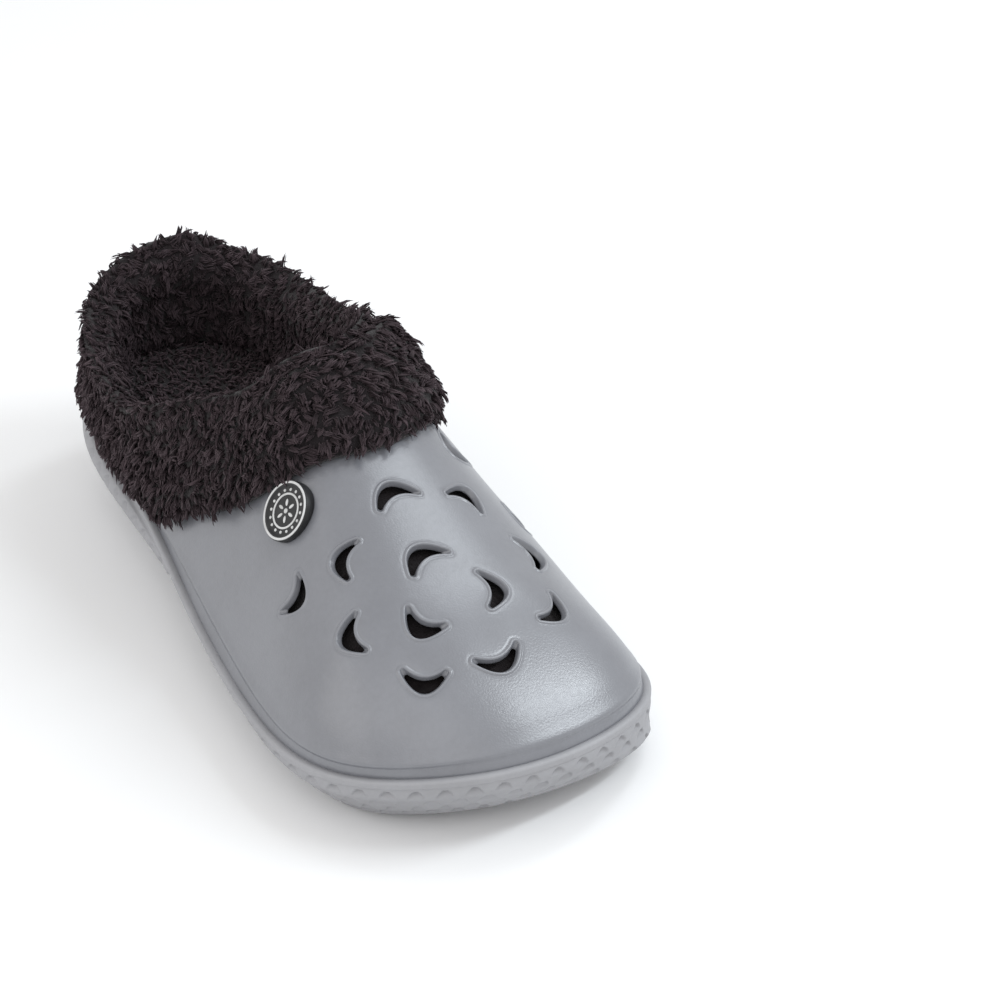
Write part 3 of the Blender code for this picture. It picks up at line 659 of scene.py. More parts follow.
def halves(quads):
    """Triangles of quads."""
    return np.concatenate((quads[:, (0, 1, 2)], quads[:, (0, 2, 3)]))


def pairs(line, closed=True):
    """Neighbours along a line of points; closed pairs the last with the first."""
    ends = np.stack((line, np.roll(line, -1)), 1)
    return ends if closed else ends[:-1]


def wall_faces(line, shift, closed=True):
    """Quads between a line of points and its copy, whose numbers are higher by shift."""
    ends = pairs(line, closed)
    return np.concatenate((ends, ends[:, ::-1] + shift), 1)


def kept_points(grid, where, clear):
    """Whether each point of the skin's grid goes into the net: outside the clear loops round the vents.

    In the toe fan the columns run together towards the spine, so the upper rows leave some of them out.
    """
    keep = np.ones(grid.shape[:2], bool)
    crowd = np.linspace(1, 0, BODY_ROWS + 1)[1:]
    stride = 2 ** np.floor(np.log2(1 / np.maximum(crowd, FAN_CROWD))).astype(int)
    fan = np.flatnonzero(where >= 1)
    keep[-BODY_ROWS:, fan] = np.arange(len(fan)) % stride[:, None] == 0
    keep, flat = keep.ravel(), spread_flat(grid).reshape(-1, 2)
    for loop in spread_flat(clear):
        keep[inside_loop(flat, loop)] = False
    return keep


def flat_net(points, used, ties):
    """Triangles between the used points, laid out flat and tied in pairs, and which point stands for each."""
    slot_of = np.full(len(points), -1)
    slot_of[used] = np.arange(len(used))
    places = [Vector(place) for place in spread_flat(points[used]).tolist()]
    net = delaunay_2d_cdt(places, slot_of[ties].tolist(), [], 0, NET_CLOSE, True)
    faces, origin = net[2], net[3]
    first_of = np.array([group[0] for group in origin])
    same = np.arange(len(points))
    same[used[np.concatenate(origin)]] = np.repeat(used[first_of], [len(group) for group in origin])
    return used[first_of[np.array(faces)]], same


def wall_directions(normal, count):
    """Directions through the wall: the normals, but in the foot the lean of the row above it.

    That lean levels out downwards, so that the inner wall can't fold there.
    """
    foot = len(FOOT_HEIGHTS) + 1
    lean = normal[(foot - 1) * count : foot * count]
    level = unit(lean * (1, 1, 0))
    part = np.linspace(0, 1, foot)[:, None, None]
    return np.concatenate((unit(level + (lean - level) * part).reshape(-1, 3), normal[foot * count :]))


def upper_shell():
    """Points and faces of the upper: a flat net of the skin with its vents, wrapped back on the last.

    The inner wall is the skin moved in through the wall, joined to it at the foot, the rim and the vents.
    """
    place, where = last_columns(UPPER_SIDE, UPPER_TOE, UPPER_HEEL)
    count = len(place)
    rim, edge = collar_angle(place), welt(place)
    tall = height_at(CREST, edge[:, 1]) - edge[:, 2]
    foot_angle = angle_of(FOOT_HEIGHTS[:, None] / tall)
    share = np.linspace(0, 1, BODY_ROWS + 1)[1:, None]
    angle = np.concatenate((foot_angle, foot_angle[-1] + (rim - foot_angle[-1]) * share))
    body = shell(place[None], angle, 0.0, where[None])
    grid = np.concatenate((body[:1] - (0, 0, SEAT - GAP), body))
    skin = body[angle > SKIN_FROM]

    vents = list(zip(*VENTS.values()))
    steps_in = VENT_EDGE["spread"] * MM, VENT_EDGE["shrink"] * MM
    rings = np.stack([vent_points(skin, vent, *steps_in) for vent in vents])
    clear = np.stack([vent_points(skin, vent, (VENT_CLEAR,), (0.0,))[0] for vent in vents])
    keep = kept_points(grid, where, clear)
    points = np.concatenate((grid.reshape(-1, 3), rings.reshape(-1, 3)))
    first_ring, total = len(keep), len(points)
    ring_index = np.arange(first_ring, total).reshape(rings.shape[:3])

    seat_loop = np.arange(count)
    is_open = rim < RIM_CLOSED
    lateral_end = np.flatnonzero(is_open & (place < TOE_START))[-1] + 1
    medial_end = np.flatnonzero(is_open & (place > MEDIAL_START))[0] - 1
    rim_loop = np.concatenate((np.arange(medial_end, count), np.arange(lateral_end + 1))) + first_ring - count
    index = np.arange(first_ring).reshape(-1, count)
    ties_round = np.stack((index, np.roll(index, -1, 1)), -1).reshape(-1, 2)
    ties_up = np.stack((index[:-1], index[1:]), -1).reshape(-1, 2)
    grid_ties = np.concatenate((ties_round, ties_up))
    ties = [pairs(loop) for loop in (seat_loop, *ring_index[:, 0])]
    ties += [pairs(rim_loop, closed=False), grid_ties[keep[grid_ties].all(1)]]
    used = np.concatenate((np.flatnonzero(keep), ring_index[:, 0].ravel()))
    skin_faces, same = flat_net(points, used, np.concatenate(ties))
    flat = spread_flat(points)
    centre = flat[skin_faces].mean(1)
    wanted = inside_loop(centre, flat[seat_loop])
    for loop in (rim_loop, *ring_index[:, 0]):
        wanted &= ~inside_loop(centre, flat[loop])
    skin_faces = skin_faces[wanted]

    low, high = ring_index[:, :-1], ring_index[:, 1:]
    bead_faces = np.stack((low, high, np.roll(high, -1, 2), np.roll(low, -1, 2)), -1).reshape(-1, 4)
    normal = point_normals(points, np.concatenate((skin_faces, halves(bead_faces))))

    above = grid[..., 2] - edge[:, 2]
    recess = smooth_step(above, *RECESS_END)
    bead = smooth_step(above, *BEAD_RISE) * smooth_step(above, *BEAD_FALL)
    raised = np.concatenate((
        (FOOT_BEAD * bead - FOOT_RECESS * recess).ravel(),
        np.broadcast_to(VENT_EDGE["rise"][None, :, None] * MM, rings.shape[:3]).ravel(),
    ))
    outer = points + normal * raised[:, None]
    thinner = smooth_step(VENT_EDGE["spread"], VENT_EDGE["spread"][0], 0.0)[None, :, None] * VENT_THIN
    thick = np.full(len(points), WALL)
    thick[first_ring:] -= np.broadcast_to(thinner, rings.shape[:3]).ravel()
    inner = points - wall_directions(normal, count) * thick[:, None]

    walls = [wall_faces(loop, total) for loop in (same[seat_loop], same[rim_loop], *ring_index[:, -1])]
    quads = np.concatenate((bead_faces, bead_faces[:, ::-1] + total, *walls))
    quads = quads[quads[:, 0] != quads[:, 1]]
    triangles = np.concatenate((skin_faces, skin_faces[:, ::-1] + total))
    shown = np.unique(np.concatenate((quads.ravel(), triangles.ravel())))
    number = np.zeros(2 * total, int)
    number[shown] = np.arange(len(shown))
    return np.concatenate((outer, inner))[shown], [number[triangles], number[quads]], skin


points, faces, skin = upper_shell()
upper_skin = foam_finish(
    "upper_foam_skin", UPPER_DARK, UPPER_LIGHT, matt=0.28, grain_size=0.5 * MM, grain_depth=0.06 * MM
)
upper = new_piece("upper_moulding", points, faces, upper_skin)
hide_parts("upper")


# The lining
# A thin dark fleece cloth glued inside the upper, from the insole up to the cuff. It is what shows through
# the vents.

LINING_CLOSE = 0.15 * MM     # behind the cuff
LINING_DEEP = 2.4 * MM       # in the toe box, where it hangs free of the wall
LINING_CLOTH = 0.5 * MM
LINING_ROWS = 26
LINING_COLUMNS = (60, 48, 30)
LINING_UNDER = 0.04          # how much further up the wall than the cuff's edge it goes
LINING_LOW, TOE_RAISE = 0.005, 0.065     # its lower edge, and how much higher that lies in the toe box
TOE_BOX = (0.62, 0.85)       # stations between which the toe box begins
# Inner edge of the cuff: how far up the wall it hangs, along the spine
CUFF_EDGE = columns(
    ("station", "rise"),
    (0.00, 0.12), (0.20, 0.12), (0.33, 0.14), (0.46, 0.28), (0.57, 0.60), (0.64, 0.88), (0.68, 1.00),
)
BRIM_END = CUFF_EDGE["station"][-1] - 0.02     # further on the two sides of the lining meet
# The pile runs from FLEECE_ROOT at its roots to FLEECE_TIP at its tips: the near black roots are painted
# shade deep in the pile.
FLEECE_ROOT = (0.007, 0.0045, 0.0053, 1.0)
FLEECE_TIP = (0.052, 0.0375, 0.0425, 1.0)
CLOTH_LIGHT = (0.013, 0.009, 0.0105, 1.0)


def fleece_cloth_finish():
    """The knitted back of the fleece: dark, matt and slightly mottled."""
    material, sockets, start = new_finish(
        "fleece_cloth", Metallic=0.0, Specular_IOR_Level=0.15, Sheen_Weight=0.15, Sheen_Roughness=0.6
    )
    tuft = start.node("TexCoord", out="Object").noise(scale=520.0, detail=4.0, roughness=0.7)
    feed(
        sockets,
        Base_Color=tuft.ramp(0.35, 0.8).mix(FLEECE_ROOT, CLOTH_LIGHT),
        Roughness=0.95 - tuft * 0.1,
        Normal=tuft.bump(strength=0.9, distance=0.8 * MM),
    )
    return material


def lining_sheet(depth):
    """Rows of the lining from the insole to its upper edge, sunk behind the upper's wall."""
    place, where = last_columns(*LINING_COLUMNS)
    in_toe_box = smooth_step(where, *TOE_BOX)
    low = angle_of(LINING_LOW + TOE_RAISE * in_toe_box)
    top = angle_of(steady_curve(CUFF_EDGE["station"], CUFF_EDGE["rise"], where) + LINING_UNDER)
    free = LINING_CLOSE + (LINING_DEEP - LINING_CLOSE) * in_toe_box
    share = np.linspace(0, 1, LINING_ROWS)[:, None]
    return shell(place[None], low + (top - low) * share, WALL + free + depth, where[None])


fleece_cloth = fleece_cloth_finish()
outside, inside = lining_sheet(0.0), lining_sheet(LINING_CLOTH)
number, count = outside.shape[:2]
total = number * count
brim = np.flatnonzero(last_columns(*LINING_COLUMNS)[1] < BRIM_END)
brim = np.roll(brim, -np.argmax(np.diff(brim) > 1) - 1)
brim = (number - 1) * count + np.concatenate((brim[:1] - 1, brim, brim[-1:] + 1))
faces = [
    grid_faces(number, count),
    grid_faces(number, count)[:, ::-1] + total,
    wall_faces(np.arange(count), total),
    wall_faces(brim, total, closed=False),
]
lining = new_piece("lining_cloth", np.concatenate((outside, inside)), faces, fleece_cloth)


# The insole
# A foam pad under a short dark fleece, cut to the inside of the upper and laid on the sole's bed. Its edge is
# rounded over where the pile meets the wall.

INSOLE_THICKNESS = 6.0 * MM
INSOLE_ROUND = 2.5 * MM      # how far its top edge is rounded in from its side
INSOLE_DRAFT = 0.3 * MM
INSOLE_SINK = 0.9 * MM       # the pad's cloth lies this far below the pile
INSOLE_COLUMNS = (70, 40, 30)
INSOLE_ROWS = 14
INSOLE_PITCH = 1.9 * MM      # from lock to lock
# Its locks: means of length, lift and girth, each with the part of it that they spread by, curl and twist
INSOLE_LOCK = (3.0 * MM, 0.3), (1.5 * MM, 0.3), (0.45 * MM, 0.25), 1.2 * MM, 2
# The insole's locks take higher tones than the cuff's: painted light on the pile, which lies in shade deep
# inside the shoe.
INSOLE_TONE_WITH_PAINTED_LIGHT = 0.6, 1.4
FLEECE_SEED = 7
LOCK_STRAY = 0.42            # how far a lock's root strays from its place in the row, over the pitch
LOCK_SIDES = 3
LOCK_RIB, LOCK_OVAL = 0.2, 0.72     # how deep a lock's ribs are, and how flat its section
LAY_POWER = 1.3              # how late a lock bends over
# Girth from the root to the tip
STRAND_KNOTS = columns(("way", "girth"), (0.0, 0.9), (0.4, 1.0), (0.82, 0.72), (1.0, 0.0))
HAIR_KNOTS = columns(("way", "girth"), (0.0, 1.0), (0.55, 0.75), (1.0, 0.0))


def insole_rows(sink):
    """Rows of the pad: bottom from the spine to its edge, up the wall, and back over its top."""
    place, where = last_columns(*INSOLE_COLUMNS)
    side = WALL + CURVED_GAP
    middle = spine(where)
    low = shell(place, 0 * place, side, where)
    edge = welt(place)
    share = np.linalg.norm(low[:, :2] - middle, axis=1) / np.linalg.norm(edge[:, :2] - middle, axis=1)
    bed = height_at(BED, middle[:, 1])
    low[:, 2] = (low[:, 2] - SEAT) * share + bed * (1 - share) + GAP
    rise = (INSOLE_THICKNESS - SEAT - sink) / (height_at(CREST, low[:, 1]) - edge[:, 2])
    waist = shell(place, angle_of(rise / 2), side + INSOLE_DRAFT, where)
    high = shell(place, angle_of(rise), side + INSOLE_ROUND, where)
    top = np.column_stack((middle, bed + INSOLE_THICKNESS - sink))
    bottom = np.column_stack((middle, bed + GAP))
    part = np.linspace(0, 1, INSOLE_ROWS)[:, None, None]
    return np.concatenate(((bottom + (low - bottom) * part), waist[None], high + (top - high) * part))


def fleece_finish():
    """Fleece: brown-black at the tips and painted near black at the roots, as shade deep in the pile; a
    lock's tone makes it lighter or darker, partly at random and partly as painted light.
    """
    material, sockets, start = new_finish(
        "fleece_pile", Metallic=0.0, Specular_IOR_Level=0.12, Sheen_Weight=0.12, Sheen_Roughness=0.5,
        Sheen_Tint=(0.8, 0.62, 0.68, 1.0),
    )
    tip = start.node("Attribute", {"attribute_name": "tip"}, out="Fac")
    tone_and_painted_light = start.node("Attribute", {"attribute_name": "tone_and_painted_light"}, out="Fac")
    # Painted shade: the nearer its root a point lies, the darker it is; the tone adds painted light and
    # random variation.
    lit = (tip * 0.75 + tone_and_painted_light * 0.4 - 0.1).ramp(0.0, 1.0)
    feed(sockets, Base_Color=lit.mix(FLEECE_ROOT, FLEECE_TIP), Roughness=0.62 + tone_and_painted_light * 0.2)
    return material


def sheet_frames(sheet):
    """Directions of a sheet of points at each point: along its rows, across them, and out of it."""
    along = unit(np.roll(sheet, -1, 1) - np.roll(sheet, 1, 1))
    across = unit(np.gradient(sheet, axis=0))
    out = unit(np.cross(along, across))
    return along, across, out


def at_cells(values, row, column):
    """Values of a grid between its points, read in straight lines; its columns go round."""
    low, left = np.floor(row).astype(int), np.floor(column).astype(int)
    low = np.minimum(low, len(values) - 2)
    up, right = (row - low)[:, None], (column - left)[:, None]
    count = values.shape[1]
    left, beside = left % count, (left + 1) % count
    lower = values[low, left] * (1 - right) + values[low, beside] * right
    upper_row = values[low + 1, left] * (1 - right) + values[low + 1, beside] * right
    return lower * (1 - up) + upper_row * up


def lock_roots(sheet, pitch_across, pitch_along, random):
    """Places on a sheet for locks in loose rows: row and column, as numbers between the sheet's points."""
    run = way_along(sheet)
    around = np.cumsum(np.linalg.norm(np.roll(sheet, -1, 1) - sheet, axis=2), axis=1)
    around = np.concatenate((0 * around[:, :1], around), 1)
    lines = np.arange(pitch_across / 2, run[-1], pitch_across)
    found = []
    for line in lines:
        way_round = around[np.abs(run - line).argmin()]
        number = max(int(way_round[-1] / pitch_along), 3)
        stray = random.uniform(-LOCK_STRAY, LOCK_STRAY, number)
        turn = (np.arange(number) + stray + random.uniform()) / number % 1
        across = np.clip(line + random.uniform(-LOCK_STRAY, LOCK_STRAY, number) * pitch_across, 0, run[-1])
        column = np.interp(turn * way_round[-1], way_round, np.arange(len(way_round)))
        found.append(np.stack((np.interp(across, run, np.arange(len(run))), column % sheet.shape[1]), 1))
    return np.concatenate(found).T


def lock_sizes(random, number, length, lift, girth, curl, twist):
    """Random sizes of locks: even spreads round the means of the first three, curl and twist round 0."""
    sizes = {}
    for name, (mean, part) in {"length": length, "lift": lift, "girth": girth}.items():
        sizes[name] = mean * (1 + part * random.uniform(-1, 1, number))
    sizes["curl"] = random.normal(0, curl, number)
    sizes["twist"] = random.uniform(-twist, twist, number)
    return sizes


def locks(root, out, lay, sizes, knots):
    """Points of tapering locks: root + out * lift * (2t - t^2) + lay * length * t^1.3 + aside * curl * t^2.

    The section round that line is a ribbed oval that turns as it goes; the last point is the tip.
    """
    aside = unit(np.cross(lay, out))
    t = knots["way"][:, None]
    names = ("length", "lift", "girth", "curl", "twist")
    length, lift, girth, curl, twist = (sizes[name][:, None, None] for name in names)
    line = root[:, None] + out[:, None] * lift * (2 * t - t * t)
    line = line + lay[:, None] * length * t**LAY_POWER + aside[:, None] * curl * t * t
    run = unit(np.gradient(line, axis=1))
    flat = unit(aside[:, None] - run * (run * aside[:, None]).sum(-1, keepdims=True))
    thick = np.cross(run, flat)
    turn = np.arange(LOCK_SIDES) / LOCK_SIDES * 2 * math.pi + twist * t
    rib = 1 + LOCK_RIB * np.cos(np.arange(LOCK_SIDES) * math.pi)
    radius = girth * knots["girth"][:, None] * rib
    ring = flat[:, :, None] * (np.cos(turn) * radius)[..., None]
    ring = ring + thick[:, :, None] * (np.sin(turn) * radius * LOCK_OVAL)[..., None]
    body = (line[:, :, None] + ring)[:, :-1]
    return np.concatenate((body.reshape(len(root), -1, 3), line[:, -1:]), 1)


def lock_faces(number, knots):
    """Faces of the locks: quads along each, three-cornered faces at its tip, and its closed foot."""
    rings = len(knots["way"]) - 1
    size = rings * LOCK_SIDES + 1
    foot = np.arange(LOCK_SIDES)
    last = (rings - 1) * LOCK_SIDES + foot
    tips = np.stack((last, np.roll(last, -1), np.full(LOCK_SIDES, size - 1)), 1)
    shift = np.arange(number)[:, None, None] * size
    return [
        (grid_faces(rings, LOCK_SIDES) + shift).reshape(-1, 4),
        (tips + shift).reshape(-1, 3),
        foot[::-1] + shift[:, 0],
    ]


def new_locks(name, root, out, lay, sizes, knots, tone_and_painted_light):
    """A piece made of many locks, with how far along its lock each point lies and each lock's tone, which
    holds a random part and painted light.
    """
    body = locks(root, out, lay, sizes, knots)
    piece = new_piece(name, body, lock_faces(len(root), knots), fleece_pile, merge=0)
    way = np.append(np.repeat(knots["way"][:-1], LOCK_SIDES), 1.0)
    for label, values in (("tip", np.tile(way, len(root))), ("tone_and_painted_light", np.repeat(tone_and_painted_light, len(way)))):
        mark = piece.data.attributes.new(label, "FLOAT", "POINT")
        mark.data.foreach_set("value", values.astype(np.float32))


fleece_pile = fleece_finish()
rows = insole_rows(INSOLE_SINK)
insole = new_piece("insole_pad", rows, grid_faces(*rows.shape[:2]), fleece_cloth)
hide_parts("insole")

random = np.random.default_rng(FLEECE_SEED)
sheet = rows[-INSOLE_ROWS:-1]
along, across, out = sheet_frames(sheet)
row, column = lock_roots(sheet, INSOLE_PITCH, INSOLE_PITCH, random)
number = len(row)
turn = random.uniform(0, 2 * math.pi, number)[:, None]
lay = unit(at_cells(along, row, column) * np.cos(turn) + at_cells(across, row, column) * np.sin(turn))
sizes = lock_sizes(random, number, *INSOLE_LOCK)
# The insole's raised tones are painted light in the shoe's shaded inside.
new_locks(
    "insole_pile", at_cells(sheet, row, column), np.tile((0.0, 0.0, 1.0), (number, 1)), lay, sizes,
    STRAND_KNOTS, random.uniform(*INSOLE_TONE_WITH_PAINTED_LIGHT, number),
)


# The cuff
# A band of deep dark fleece in curled locks, folded over the upper's rim: outside it hangs almost to the welt
# at the heel and rises over the instep to a point behind the vents, inside it lines the collar.

CUFF_OUTSIDE = 8.5 * MM      # pile outside the upper
CUFF_INSIDE = 5.5 * MM
CUFF_RIDGE = 10.0 * MM       # pile above the upper's rim
HEM_LIFT = 1.2 * MM
HEM_THIN = 1.3               # how much of the extra pile at the front is gone at the lower edge
RIDGE_LEAN = 0.18            # the ridge leans out by this much of its height
RIDGE_THICK = 0.4            # how much of the extra pile at the front reaches the ridge
CUFF_SINK = 3.4 * MM         # the cloth lies this far below the pile outside and on the ridge
INNER_SINK = 2.5 * MM
CUFF_COLUMNS = 240
CUFF_ROWS = 48
# The lower edge outside and inside the upper for each station of the collar, how deep the pile is, and how
# high the ridge stands over the rim and how far out
HEM = columns(
    ("collar", "outer_station", "lateral_rise", "medial_rise", "inner_station", "inner_rise",
     "lateral_pile", "medial_pile", "ridge", "flare"),
    (0.00, 0.00, 0.07, 0.07, 0.00, 0.08, 1.00, 1.00, 1.00, 1.33),
    (0.20, 0.21, 0.065, 0.08, 0.20, 0.08, 1.00, 1.00, 1.00, 1.33),
    (0.32, 0.38, 0.10, 0.18, 0.33, 0.11, 1.00, 1.05, 1.00, 1.33),
    (0.44, 0.55, 0.33, 0.44, 0.46, 0.28, 1.00, 1.35, 0.98, 1.20),
    (0.53, 0.67, 0.58, 0.70, 0.57, 0.60, 1.05, 1.80, 0.85, 1.03),
    (0.58, 0.735, 0.82, 0.90, 0.64, 0.88, 1.20, 1.75, 0.75, 1.00),
    (COLLAR_FRONT, 0.77, 1.00, 1.00, 0.68, 1.00, 1.45, 1.45, 0.70, 1.00),
)
# From the lower edge up to the rim: share of the way down, pile, and how much of the sink is taken
OUTSIDE_PILE = columns(
    ("share", "pile", "sink"),
    (0.98, 0.50, 0.40), (0.94, 0.66, 0.55), (0.79, 0.95, 0.8), (0.61, 1.0, 1.0), (0.44, 1.0, 1.0),
    (0.26, 1.0, 1.0), (0.08, 1.0, 1.0),
)
INSIDE_PILE = columns(("share", "pile"), (0.25, 0.82), (0.45, 1.1), (0.70, 1.35), (1.00, 1.25))
RIDGE = columns(
    ("outside", "inside", "rise"),
    (0.93, 0.00, 0.35), (1.03, 0.00, 0.72), (1.00, 0.00, 0.97), (0.72, 0.00, 1.00), (0.30, 0.00, 0.86),
    (0.00, 0.00, 0.55), (0.00, 0.50, 0.10),
)
# The back of the cuff: shares of the way down at which it lies close inside and outside, and is lifted off
LINED_SHARES, BACK_SHARES, LIFT_SHARES = (1.0, 0.5), (0.30, 0.55), (0.80, 0.98)
LOCK_ACROSS, LOCK_ALONG = 2.3 * MM, 1.9 * MM     # from lock to lock
LEAN_EASE = 0.06             # the pile turns over this far before and after the ridge
# Waves in which the locks lie to one side and the other, round the collar and up the cuff
SWIRLS = columns(("size", "turns", "climbs", "start"), (0.5, 9, 14, 0.0), (0.4, 23, -31, 1.0))
SWIRL_STRAY, SWIRL_SHARE, LEAN_STRAY = 0.5, 0.75, 0.25
LOCKS_A_TUFT = 8
TUFT = 3.6 * MM              # half the width of a tuft
TUFT_PULL = 0.6              # how strongly the locks of a tuft lean to its middle
TUFT_FROM = (0.02, 0.14)     # the pull grows from nothing over this part of the way up from the lower edge
TUFT_LIFT, TUFT_FALL = 1.35, 0.7     # the locks' lift in the middle of a tuft, and how much less at its edge
# Painted light: the locks in the middle of a tuft are made lighter, which leaves painted shade in the gaps
# between tufts.
TONE_STRAY, TUFT_PAINTED_LIGHT, TONE_DROP = 0.75, 0.55, 0.15     # the middle of a tuft is the lightest
# Locks of the zones of the cuff, in millimetres
ZONES = ("outside", "ridge", "inside")
ZONE_LOCKS = columns(("length", "lift", "girth"), (2.9, 1.7, 0.34), (2.5, 1.15, 0.31), (2.8, 1.3, 0.29))
LENGTH_SPREAD, LIFT_SPREAD, GIRTH_SPREAD = 0.35, 0.3, 0.2
LOCK_CURL, LOCK_TWIST = 2.0 * MM, 3
# The strands of a lock lie side by side and are drawn together at their tips
STRANDS_A_LOCK = 5
STRAND_STEP = 0.36 * MM
STRAND_ASIDE, STRAND_ALONG, STRAND_CURL = 0.12 * MM, 0.4 * MM, 0.35 * MM     # how far they stray
STRAND_SIZES = (0.82, 1.15)
STRAND_GATHER, STRAND_TONE = 0.7, 0.12
# One loose hair a lock, with its length and lift as shares of the lock's
HAIR_STRAY, HAIR_TURN, HAIR_CURL = 0.8 * MM, 0.3, 1.2 * MM
HAIR_LENGTH, HAIR_LIFT, HAIR_GIRTH = (0.6, 1.05), (0.55, 0.95), (0.1, 0.18)


def collar_places():
    """Places of the welt at even steps round the upper's rim, from the heel back by the lateral side."""
    lateral_end, medial_start = COLLAR_ENDS
    halfway, rest = np.linspace(0, lateral_end, FINE_STEPS), np.linspace(medial_start, TURN, FINE_STEPS)
    fine = np.concatenate((halfway, rest))
    run = way_along(shell(fine, collar_angle(fine)))
    even = (np.arange(CUFF_COLUMNS) + 0.5) / CUFF_COLUMNS * run[-1]
    found = np.interp(even, run, fine)
    return np.where((found > lateral_end) & (found < medial_start), lateral_end, found)


def hem_value(place, lateral_name, medial_name=None):
    """A column of the hem table at these places; the medial side can have a column of its own."""
    here = station(place)
    return np.where(
        place < TURN / 2,
        steady_curve(HEM["collar"], HEM[lateral_name], here),
        steady_curve(HEM["collar"], HEM[medial_name or lateral_name], here),
    )


def cuff_leg(place, share, kind, depth):
    """Points between the rim (share 0) and the cuff's lower edge (share 1), outside or inside the upper."""
    here = station(place)
    rim_angle = collar_angle(place)
    hem_station = hem_value(place, kind + "_station")
    sides = ("lateral_rise", "medial_rise") if kind == "outer" else ("inner_rise",) * 2
    hem_angle = angle_of(hem_value(place, *sides))
    moved = here + (hem_station - here) * share
    along = np.where(
        place < TURN / 2,
        places_at(moved, LATERAL_START, TOE_START),
        places_at(moved, MEDIAL_START, HEEL_START),
    )
    along = np.where(here > 0, along, place)
    return shell(along, rim_angle + (hem_angle - rim_angle) * share, depth)


def cuff_rows():
    """The cuff's pile side as a dense sheet from the outer edge over the ridge, and the rows of its back."""
    place = collar_places()
    rim = shell(place, collar_angle(place))
    into = unit(shell(place, collar_angle(place), WALL) - rim)
    up = unit(rim - cuff_leg(place, OUTSIDE_PILE["share"][-1], "outer", 0.0)) - into * RIDGE_LEAN
    depth = hem_value(place, "lateral_pile", "medial_pile")
    tall = (CUFF_RIDGE - CUFF_SINK) * hem_value(place, "ridge")
    flare = hem_value(place, "flare")

    def outer(share, pile):
        return cuff_leg(place, share, "outer", -pile)

    def inner(share, pile):
        return cuff_leg(place, share, "inner", WALL + pile)

    front = []
    for share, pile, sink in zip(*OUTSIDE_PILE.values()):
        deep = 1 + (depth - 1) * (1 - HEM_THIN * share**2)
        front.append(outer(share, CUFF_OUTSIDE * pile * deep - CUFF_SINK * sink))
    for outside, inside, rise in zip(*RIDGE.values()):
        outside_pile = (CUFF_OUTSIDE * (1 + RIDGE_THICK * (depth - 1)) - CUFF_SINK) * flare
        inward = np.where(outside > 0, -outside * outside_pile, WALL + inside * (CUFF_INSIDE - INNER_SINK))
        front.append(rim + into * inward[:, None] + up * (rise * tall)[:, None])
    for share, pile in zip(*INSIDE_PILE.values()):
        front.append(inner(share, CUFF_INSIDE * pile - INNER_SINK))
    front = np.stack(front)
    run = way_along(front)
    dense = steady_curve(run, front, np.linspace(0, run[-1], CUFF_ROWS))
    back = [inner(share, CURVED_GAP) for share in LINED_SHARES]
    back += [leg(0.0, CURVED_GAP) + up * CURVED_GAP for leg in (inner, outer)]
    back += [outer(share, CURVED_GAP) for share in BACK_SHARES]
    back += [outer(share, HEM_LIFT) for share in LIFT_SHARES]
    ridge = run[len(OUTSIDE_PILE["share"]) - 1] / run[-1], run[-len(INSIDE_PILE["share"])] / run[-1]
    return dense, np.stack(back), ridge


sheet, back, (ridge_start, ridge_end) = cuff_rows()
rows = np.concatenate((sheet, back))
cuff = new_piece("cuff_cloth", rows, grid_faces(*rows.shape[:2], wrap=True), fleece_cloth)
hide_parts("cuff")

along, across, out = sheet_frames(sheet)
out = out * np.sign(((sheet - sheet.mean(0)) * out).sum())
row, column = lock_roots(sheet, LOCK_ACROSS, LOCK_ALONG, random)
number = len(row)
way = row / (CUFF_ROWS - 1)
turn = column / CUFF_COLUMNS * 2 * math.pi
lean = smooth_step(way, ridge_start - LEAN_EASE, ridge_end + LEAN_EASE) * 2 - 1
waves = zip(*SWIRLS.values())
swirl = sum(size * np.sin(turns * turn + climbs * way + start) for size, turns, climbs, start in waves)
swirl = swirl + random.normal(0, SWIRL_STRAY, number)
root = at_cells(sheet, row, column)
out = unit(at_cells(out, row, column))
lay = unit(
    at_cells(across, row, column) * (lean + LEAN_STRAY * random.normal(0, 1, number))[:, None]
    + at_cells(along, row, column) * (SWIRL_SHARE * swirl)[:, None]
)
middles = random.permutation(number)[: number // LOCKS_A_TUFT]
apart = (root[middles] ** 2).sum(1) - 2 * root @ root[middles].T
inward = root[middles[apart.argmin(1)]] - root
far = np.clip(np.linalg.norm(inward, axis=1) / TUFT, 0, 1)
lay = lay + inward / TUFT * (TUFT_PULL * smooth_step(way, *TUFT_FROM))[:, None]
lay = unit(lay - out * (lay * out).sum(1, keepdims=True))
# A lock's tone is a random part plus painted light towards the middle of its tuft, which leaves painted shade
# in the gaps between tufts.
tone_and_painted_light = TONE_STRAY * random.uniform(0, 1, number) + TUFT_PAINTED_LIGHT * (1 - far) - TONE_DROP
zone = 1 - (way < ridge_start) + (way > ridge_end)
length, lift, girth = (values[zone] * MM for values in ZONE_LOCKS.values())
lift = lift * (TUFT_LIFT - TUFT_FALL * far)
means = (length, LENGTH_SPREAD), (lift, LIFT_SPREAD), (girth, GIRTH_SPREAD)
sizes = lock_sizes(random, number, *means, LOCK_CURL, LOCK_TWIST)
